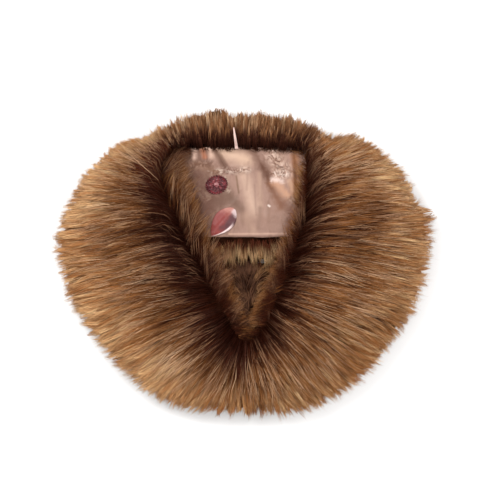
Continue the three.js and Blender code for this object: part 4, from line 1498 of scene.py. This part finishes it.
@dataclass
class BackBand:
    """The band round the back of the neck, with its fringe above and below the lining."""

    wardrobe: Wardrobe
    cut: tuple[float, float] = (0.356, 0.21)
    seam_shift: float = 6.5
    hem: float = 31.0
    hem_ends: tuple[float, float] = (-56.0, 63.0)
    hem_hairs: int = 12
    root_height: float = 16.8
    tip_height: float = 10.5
    seed: int = 41

    def build(self) -> None:
        """Makes the band's pieces."""
        gx, gy = np.meshgrid(np.linspace(-80, 84, 20), (-4.0, 6.0, 16.0, 26.0))
        hem = np.stack([gx.ravel(), gy.ravel()], 1)
        body = Underfur("back_band_fur", "brown_fur", 5.0, hem, 3.8, 0.8, 2)
        body = body.build("back_band_underfur", self.wardrobe.band_underfur)
        lots = []
        for k, side in enumerate(Side):
            ring = FurRing(side)
            fringe = self.fringe_cut(170)
            lots.append(fringe.sow(ring, (0.0, CORNER_ROW + 0.1), (0.0, 0.5), self.seed + k))
            skirt = SkirtCut(190, hairs=6, length=(7, 11), tone=0.5, ragged=1.6, low=0.25, drop=(8, 15),
                             steep=1.5, top=30.0, short=3.4)
            lots.append(skirt.sow(ring, (0.0, CORNER_ROW + 0.25), self.seed + 10 + k))
            flank = FlankCut(26, length=(4, 7), tone=0.0)
            lots.append(flank.sow(ring, (0.0, CORNER_ROW), self.seed + 20 + k))
        seam = self.fringe_cut(17).sow(FurRing(Side.LEFT), (0.04, 0.26), (0.0, 0.5), self.seed + 30)
        seam.paths[..., 0] += self.seam_shift
        lots.append(seam)
        dress(Hairs.join(lots).build("neck_fringe_pile", self.wardrobe.fringe, 5))
        # The second layer, rooted lower, fills the gap above the facing; its low tone is painted shade for the band
        # under the hem fringe.
        hem_lots = [self.hem_fringe(0.84, -6.0, 0, 112), self.hem_fringe(0.12, 19.0, 50, 56)]
        dress(Hairs.join(hem_lots).build("hem_fringe_pile", self.wardrobe.coat, 6))

    def fringe_cut(self, locks: int) -> CoatCut:
        """How the fringe at the back of the neck is sown, with so many locks."""
        return CoatCut(locks, hairs=11, length=(28, 50), root_depth=(3, 9), spread=3.2, wave=0.8, sway=6,
                       ragged=5.0, tone=0.44, lock_tone=0.15, fade=(-0.3, -0.2, 0.0, 0.24), curl=0,
                       spike=3.8, thin=17)

    def hem_fringe(self, tone: float, lower: float, seed: int, locks: int) -> Hairs:
        """Sows a layer of the hair that comes out from under the lining's hem.

        Args:
            tone: The layer's tone.
            lower: How far below the hem it is rooted, in millimetres.
            seed: Makes it the same each time.
            locks: How many locks it has.

        Returns:
            The hairs.
        """
        rng = np.random.default_rng(self.seed + 3 + seed)
        low = max(lower, 0.0) * 0.35
        lock = np.repeat(np.arange(locks), self.hem_hairs)
        count = len(lock)
        x = rng.uniform(*self.hem_ends, locks)
        deep = rng.random(locks)
        spot, tips = disc(rng, count), disc(rng, count)
        start = np.stack([x[lock] + spot[:, 0] * 3.6,
                          self.hem - lower - 6 * deep[lock] + spot[:, 1] * 1.6,
                          self.root_height - low - 4 * deep[lock] - rng.uniform(0, 1.5, count)], 1)
        fan = (x[lock] + 10) * 0.16 + rng.normal(0, 4.2, locks)[lock]
        long = (rng.uniform(20, 43, locks)[lock] - min(lower, 0.0)) * rng.uniform(0.85, 1.05, count)
        end = start + np.stack([fan + tips[:, 0] * 1.4 - spot[:, 0] * 1.2, -long, np.zeros(count)], 1)
        tip_z = self.tip_height - low * 0.3 - 3 * deep[lock] + rng.normal(0, 1.2, count)
        end[:, 2] = np.clip(tip_z, 1.5, 14)
        leave = unit(np.stack([fan * 0.01, np.full(count, -1.0), np.full(count, 0.18)], 1))
        arrive = unit(np.stack([fan * 0.04, np.full(count, -1.0), np.full(count, -0.4)], 1))
        shade = tone + rng.normal(0, 0.08, locks)[lock] + rng.normal(0, 0.08, count) + 0.0016 * x[lock]
        widths = rng.uniform(0.4, 0.7, count)
        return Hairs(swing(start, end, leave, arrive), widths, np.clip(shade, 0, 1))


@dataclass
class NeckFacing:
    """The shorter fur that shows in the point of the V, in millimetres.

    A row has its place along the V, its left and right end, and its height at the ends and between.
    """

    wardrobe: Wardrobe
    rows: tuple[tuple[float, ...], ...] = (
        (6, -66, 63, 5, 7), (-13, -58, 56, 7, 11), (-24, -52, 51, 9, 19), (-38, -44, 45, 11, 23),
        (-54, -34, 38, 12, 24), (-70, -25, 31, 12, 24), (-85, -15, 21, 12, 24), (-98, -6, 10, 12, 22))
    locks: int = 230
    hairs: int = 10
    point_locks: int = 14
    span: tuple[float, float] = (-99.0, 7.0)
    lowest: float = -112.0
    middle: float = 4.0
    seed: int = 61

    def height(self, x: np.ndarray, y: np.ndarray) -> np.ndarray:
        """Height of the facing's surface, in millimetres."""
        table = np.array(self.rows)[::-1]
        left, right, edge, crown = (np.interp(y, table[:, 0], table[:, k]) for k in range(1, 5))
        u = np.clip(np.abs((x - (left + right) / 2) / ((right - left) / 2)), 0, 1)
        return edge + (crown - edge) * (1 - u**2.2)

    def build(self) -> None:
        """Makes the facing's body and its hair."""
        gx, gy = np.meshgrid(np.linspace(-66, 64, 18), (7.0, -4.0, -14.0))
        top = np.stack([gx.ravel(), gy.ravel()], 1)
        body = Underfur("neck_facing_fur", "dark_fur", 2.2, top, 2.4, 0.8, 1)
        body = body.build("neck_facing_underfur", self.wardrobe.underfur)
        dress(self.sow().build("neck_facing_pile", self.wardrobe.facing, 7))

    def sow(self) -> Hairs:
        """Sows the facing's hair, denser where the V is wide and once more in its point."""
        rng = np.random.default_rng(self.seed)
        y = rng.uniform(*self.span, self.locks * 3)
        table = np.array(self.rows)[::-1]
        left, right = np.interp(y, table[:, 0], table[:, 1]), np.interp(y, table[:, 0], table[:, 2])
        keep = rng.choice(len(y), self.locks, replace=False, p=(right - left) / (right - left).sum())
        y, left, right = y[keep], left[keep], right[keep]
        x = rng.uniform(left, right)
        point = slice(self.point_locks)
        x[point], y[point] = rng.uniform(-6, 10, self.point_locks), rng.uniform(-99, -90, self.point_locks)
        lock = np.repeat(np.arange(self.locks), self.hairs)
        count = len(lock)
        spot, tips = disc(rng, count), disc(rng, count)
        long = rng.uniform(16, 28, self.locks)[lock] * rng.uniform(0.8, 1.1, count)
        lean = np.where(x > self.middle, -1, 1) * smooth(0, 34, np.abs(x - self.middle)) * 0.9
        lean = lean + rng.normal(0, 0.22, self.locks)
        x0, y0 = x[lock] + spot[:, 0] * 4.4, y[lock] + spot[:, 1] * 4.4
        x1 = x[lock] + spot[:, 0] * 2.2 + tips[:, 0] * 1.8 + np.sin(lean[lock]) * long
        y1 = y[lock] + spot[:, 1] * 2 + tips[:, 1] * 2 - np.cos(lean[lock]) * long
        y1 = np.maximum(y1, self.lowest)
        start = np.stack([x0, y0, self.height(x0, y0) - rng.uniform(1.5, 5, count)], 1)
        end = np.stack([x1, y1, np.maximum(self.height(x1, y1) + rng.normal(1.2, 1.2, count), 3)], 1)
        way = unit(end - start)
        golden = smooth(8, 24, x) * smooth(-86, -70, y)
        golden = golden + 0.5 * smooth(-10, -18, x) * smooth(-60, -46, y)
        # Painted shade: the band just below the hem fringe and the point of the V are darkened.
        dark = smooth(-4, -14, y) * smooth(-30, -16, y) + smooth(-76, -92, y)
        shade = 0.29 + 0.50 * golden - 0.24 * dark + rng.normal(0, 0.08, self.locks)
        paths = swing(start, end, unit(way + np.array([0, 0, 0.5])), unit(way + np.array([0, 0, -0.35])))
        widths = rng.uniform(0.45, 0.8, count)
        return Hairs(paths, widths, np.clip(shade[lock] + rng.normal(0, 0.08, count), 0, 1))


@dataclass
class SatinLining:
    """The satin neck lining, gathered at the neck edge and turned at the hem."""

    wardrobe: Wardrobe
    left: float = -92.0
    right: float = 82.0
    hem: float = 30.0
    neck: float = 143.5
    rest: float = 18.4
    neck_rise: float = 4.8
    cloth: float = 1.0
    turn: float = 0.8
    pitch: float = 1.6

    def lift(self, x: np.ndarray, y: np.ndarray) -> np.ndarray:
        """How far the folds, creases and puckers raise the cloth, in millimetres.

        Args:
            x: Places across.
            y: Places from the hem to the neck.

        Returns:
            The lift, never below the backing.
        """
        total = np.zeros_like(x, dtype=float)
        for fold in FOLDS + CREASES:
            (x0, y0), (x1, y1) = fold.start, fold.end
            dx, dy = x1 - x0, y1 - y0
            size = math.hypot(dx, dy)
            along = ((x - x0) * dx + (y - y0) * dy) / size**2
            aside = -((x - x0) * dy - (y - y0) * dx) / size
            wide = fold.width * (1 - fold.skew * np.sign(aside))
            ends = smooth(-0.15, 0.15, along) * smooth(1.2, 0.7, along)
            total += fold.height * ends * np.exp(-((aside / wide) ** 2))
        for spot in PUCKERS:
            near = ((x - spot.centre[0]) / spot.radii[0]) ** 2
            near = near + ((y - spot.centre[1]) / spot.radii[1]) ** 2
            crumple = np.abs(drift(x, y, spot.pitch, spot.seed)) ** 0.8
            total += spot.height * np.exp(-(near**1.3)) * (crumple - 0.35)
        total += 0.22 * drift(x, y, 11, 90) + 0.12 * drift(x, y, 4.5, 91)
        held = smooth(self.left + 8, self.left + 26, x) * smooth(self.right - 4, self.right - 18, x)
        return np.maximum(total * held * smooth(self.hem + 1, self.hem + 8, y), -0.2) + 0.2

    def top(self, x: np.ndarray, y: np.ndarray) -> np.ndarray:
        """Height of the lining's upper side."""
        turned = self.turn * smooth(self.hem + 7, self.hem + 5.6, y)
        turned = turned + self.neck_rise * smooth(self.neck - 8, self.neck, y)
        return self.rest + self.lift(x, y) + self.cloth + turned

    def build(self) -> None:
        """Makes the lining as a closed sheet in place of its solid."""
        x = np.linspace(self.left, self.right, int((self.right - self.left) / self.pitch))
        y = np.linspace(self.hem, self.neck, int((self.neck - self.hem) / self.pitch))
        gx, gy = np.meshgrid(x, y)
        waver = 0.35 * drift(x, 0 * x, 30, 92) + 0.15 * drift(x, 0 * x, 9, 93)
        neck_waver = 1.1 * drift(x, 0 * x, 16, 94)
        share = (gy - self.hem) / (self.neck - self.hem)
        gy = gy + waver[None] * (1 - share) + neck_waver[None] * share**6
        sheet = grid_sheet("satin_lining_cloth", np.stack([gx, gy, self.top(gx, gy)], -1), self.cloth)
        sheet.data.materials.append(self.wardrobe.lining)
        dress(sheet)
        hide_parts("satin_lining")


@dataclass
class RosettePatch:
    """An embroidered rosette: a padded base, a ring of petals, a button and a beaded rim."""

    wardrobe: Wardrobe
    lining: SatinLining
    centre: tuple[float, float] = (-36.0, 96.0)
    radii: tuple[float, float] = (13.5, 11.25)
    tilt: float = 0.3
    petals: int = 9
    rings: int = 14
    sectors: int = 96
    beads: int = 26
    knots: int = 11

    def place(self, x: float, y: float) -> tuple[float, float]:
        """Turns a place on the rosette's own circle of radius one into the wrap's frame."""
        a, b = x * self.radii[0], y * self.radii[1]
        c, s = math.cos(self.tilt), math.sin(self.tilt)
        return self.centre[0] + a * c - b * s, self.centre[1] + a * s + b * c

    def ground(self, x: float, y: float) -> float:
        """Height of the lining under a place."""
        return float(self.lining.top(np.array([x]), np.array([y]))[0])

    def stitch(self, radius: float, angle: float) -> tuple[float, float, float]:
        """A place on the base, raised by its outer petals and by its inner ones.

        Args:
            radius: A share of the rosette's size.
            angle: In radians.

        Returns:
            The place, in millimetres.
        """
        x, y = self.place(radius * math.cos(angle), radius * math.sin(angle))
        petal = abs(math.sin(self.petals / 2 * angle + 0.4)) ** 0.7
        inner = abs(math.sin(self.petals * 0.5 * angle + 1.9)) ** 0.8
        wave = 1.25 * petal * math.sin(math.pi * min(1, max(0, (radius - 0.42) / 0.5))) ** 0.6
        wave += 0.9 * inner * math.sin(math.pi * min(1, max(0, (radius - 0.16) / 0.3))) ** 0.6
        return x, y, self.ground(x, y) + 0.75 + wave - (0.45 if radius > 0.9 else 0)

    def build(self) -> None:
        """Makes the rosette's pieces."""
        sectors = self.sectors
        radii = [0.02, *np.linspace(0.08, 0.93, self.rings)]
        angles = np.linspace(0, 2 * math.pi, sectors, endpoint=False)
        points = [self.stitch(radius, angle) for radius in radii for angle in angles]
        faces = []
        for j in range(len(radii) - 1):
            for i in range(sectors):
                here, beside = j * sectors + i, j * sectors + (i + 1) % sectors
                faces.append([here + sectors, beside + sectors, beside, here])
        faces.append(list(range(sectors)))
        mesh = bpy.data.meshes.new("rosette_stitching")
        mesh.from_pydata([tuple(c * MM for c in p) for p in points], [], faces)
        base = new_piece("rosette_stitching", mesh)
        apply_modifier(base, "SOLIDIFY", thickness=0.6 * MM, offset=-1.0)
        base.data.shade_smooth()
        base.data.materials.append(self.wardrobe.wine)
        dress(base)
        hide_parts("rosette_patch")
        self.bead_ring("rosette_beads", self.beads, 0.97, 1.35, self.wardrobe.wine)
        self.bead_ring("rosette_knots", self.knots, 0.60, 0.8, self.wardrobe.wine_pale)
        self.bead_ring("rosette_button", 1, 0.0, 3.3, self.wardrobe.wine_pale)

    def bead_ring(self, name: str, count: int, at: float, radius: float, material: bpy.types.Material) -> None:
        """Sews beads round a ring.

        Args:
            name: The piece's name.
            count: How many beads.
            at: The ring's size, as a share of the rosette's.
            radius: A bead's radius in millimetres.
            material: Their finish.
        """
        beads = []
        for k in range(count):
            angle = 2 * math.pi * k / count + 0.1       # no bead points along an axis
            x, y = self.place(at * math.cos(angle), at * math.sin(angle))
            z = self.ground(x, y) + (0.7 if at > 0.9 else 1.4)
            bpy.ops.object.select_all(action="DESELECT")
            bpy.ops.mesh.primitive_ico_sphere_add(
                subdivisions=2, radius=radius * MM, location=(x * MM, y * MM, z * MM))
            bead = bpy.context.active_object
            bead.scale = (1, 1, 0.75 if radius < 2 else 0.45)
            bead.rotation_euler = (0, 0, angle)
            bpy.ops.object.transform_apply(location=True, rotation=True, scale=True)
            beads.append(bead)
        bpy.ops.object.select_all(action="DESELECT")
        for bead in beads:
            bead.select_set(True)
        bpy.context.view_layer.objects.active = beads[0]
        if count > 1:
            bpy.ops.object.join()
        piece = bpy.context.active_object
        piece.name = name
        piece.data.shade_smooth()
        piece.data.materials.append(material)
        dress(piece)


@dataclass
class PetalPatch:
    """A satin petal with a crowned middle and a turned rim on its lower edge."""

    wardrobe: Wardrobe
    lining: SatinLining
    start: tuple[float, float] = (-43.0, 31.5)
    end: tuple[float, float] = (-13.0, 66.0)
    half: float = 13.2
    crown: float = 2.6

    def build(self) -> None:
        """Makes the petal as a closed sheet in place of its solid."""
        dx, dy = self.end[0] - self.start[0], self.end[1] - self.start[1]
        size = math.hypot(dx, dy)
        u, v = np.meshgrid(np.linspace(0, 1, 41), np.linspace(0.012, 0.988, 57))
        aside = self.half * np.sin(math.pi * np.minimum(1, v**1.25)) ** 0.62 * (2 * u - 1)
        x = self.start[0] + dx * v + dy / size * aside
        y = self.start[1] + dy * v - dx / size * aside
        lift = self.crown * np.sin(math.pi * u) * np.sin(math.pi * v)
        rim = 1.3 * np.exp(-(((u - 0.925) / 0.055) ** 2)) * smooth(0.0, 0.12, v) * smooth(0.8, 0.6, v)
        fold = 0.5 * np.exp(-(((u - 0.38 - 0.1 * v) / 0.06) ** 2)) * smooth(0.1, 0.4, v)
        z = self.lining.top(x, y) + 0.9 + lift + rim - fold + 0.08 * drift(x, y, 5, 33)
        piece = grid_sheet("petal_cloth", np.stack([x, y, z], -1), 0.7)
        piece.data.materials.append(self.wardrobe.petal)
        dress(piece)
        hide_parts("petal_patch")


@dataclass
class HangingLoop:
    """A narrow ribbon doubled back on itself, from the neck edge up over the fringe."""

    wardrobe: Wardrobe
    x: float = -10.5
    neck: float = 141.0
    lean: float = -3.5
    long: float = 25.0
    width: float = 4.2
    tip_width: float = 1.7
    bends: int = 14
    arcs_read: int = 60

    def build(self) -> None:
        """Makes the loop as a closed sheet in place of its solid."""
        ring = FurRing(Side.LEFT)
        bends, arcs = self.bends, self.arcs_read
        t = np.concatenate([np.linspace(0, 1, bends), [1.04], np.linspace(1, 0, bends)])
        over = np.concatenate([np.zeros(bends), [1.15], np.full(bends, 2.3)])
        y = self.neck + self.long * t
        x = self.x + self.lean * t
        reached = ring.whole[0] * (arcs - 1) / (ring.arcs_drawn - 1)
        arc = np.interp(y, ring.points[0, :arcs, 1], np.linspace(0, reached, arcs))
        z = np.maximum(ring.read(ring.points, np.full(len(y), 0.3), arc)[:, 2], 24) + 1.9 + over
        half = (self.width + (self.tip_width - self.width) * t) / 2
        across = np.linspace(-1, 1, 7)
        points = np.stack([x[:, None] + half[:, None] * across, np.repeat(y[:, None], len(across), 1),
                           z[:, None] + 0.25 * across**2], -1)
        piece = grid_sheet("hanging_loop_ribbon", points, 0.5)
        piece.data.materials.append(self.wardrobe.ribbon)
        dress(piece)
        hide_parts("hanging_loop")


@dataclass(frozen=True)
class Lamp:
    """A soft square lamp, with its place and side in metres and its power in watts."""

    name: str
    place: tuple[float, float, float]
    size: float
    power: float

    def hang(self) -> None:
        """Hangs the lamp, turned to the wrap."""
        data = bpy.data.lights.new(self.name, "AREA")
        data.size, data.energy = self.size, self.power
        lamp = bpy.data.objects.new(self.name, data)
        lamp.location = self.place
        x, y, z = self.place
        lamp.rotation_euler = (math.atan2(math.hypot(x, y), z), 0, math.atan2(x, -y))
        bpy.context.scene.collection.objects.link(lamp)


@dataclass
class Studio:
    """A pale floor, soft lamps and the camera straight above, in metres.

    The camera looks at centre, and sees a width of view at the height called level.
    """

    view: float = 0.6282
    centre: tuple[float, float] = (0.0063, 0.0138)
    level: float = 0.03
    lens: float = 150.0
    sensor: float = 36.0
    air: float = 0.72
    lamps: tuple[Lamp, ...] = (
        Lamp("key", (-0.80, 0.70, 1.25), 0.8, 19),
        Lamp("fill", (1.05, 0.15, 1.1), 0.9, 10),
        Lamp("top", (0.05, -0.25, 2.2), 1.6, 12))

    def build(self) -> None:
        """Makes the floor, the lamps and the camera."""
        self.build_floor()
        scene = bpy.context.scene
        distance = self.lens / self.sensor * self.view
        data = bpy.data.cameras.new("camera")
        data.lens, data.sensor_width = self.lens, self.sensor
        camera = bpy.data.objects.new("camera", data)
        camera.location = (*self.centre, self.level + distance)
        scene.collection.objects.link(camera)
        scene.camera = camera
        for lamp in self.lamps:
            lamp.hang()
        world = bpy.data.worlds.new("studio_air")
        world.use_nodes = True
        light = world.node_tree.nodes["Background"].inputs
        light["Color"].default_value = (1.0, 0.99, 0.98, 1)
        light["Strength"].default_value = self.air
        scene.world = world
        scene.view_settings.view_transform = "Standard"

    def build_floor(self) -> None:
        """Lays a plain pale floor."""
        bpy.ops.object.select_all(action="DESELECT")
        bpy.ops.mesh.primitive_plane_add(size=6, location=(0, 0, -0.0004))
        floor = bpy.context.active_object
        floor.name = "floor"
        bpy.ops.object.transform_apply(location=True, rotation=True, scale=True)
        material, w, shader = start_material("floor_paper")
        w.plug(shader, {"Base Color": (0.88, 0.88, 0.88, 1), "Roughness": 0.9})
        floor.data.materials.append(material)


def main() -> None:
    """Builds the studio and the wrap's pieces in order."""
    logging.basicConfig(level=logging.INFO, format="%(message)s")
    Studio().build()
    wardrobe = Wardrobe()
    FrontFur(Side.LEFT, wardrobe, coat_locks=1450, tone=0.50, fade=(-0.48, -0.2, 0.02, 0.16), spike=2.6,
             outer_low=0.6, inner_dark=0.32, hair_tone=0.08, guard_tone=0.09, seed=11).build()
    FrontFur(Side.RIGHT, wardrobe, tone=0.47, fade=(-0.38, -0.18, 0.02, 0.12), outer_low=0.3,
             inner_dark=-0.1, seed=211).build()
    BackBand(wardrobe).build()
    NeckFacing(wardrobe).build()
    lining = SatinLining(wardrobe)
    lining.build()
    RosettePatch(wardrobe, lining).build()
    PetalPatch(wardrobe, lining).build()
    HangingLoop(wardrobe).build()


if __name__ == "__main__":
    main()
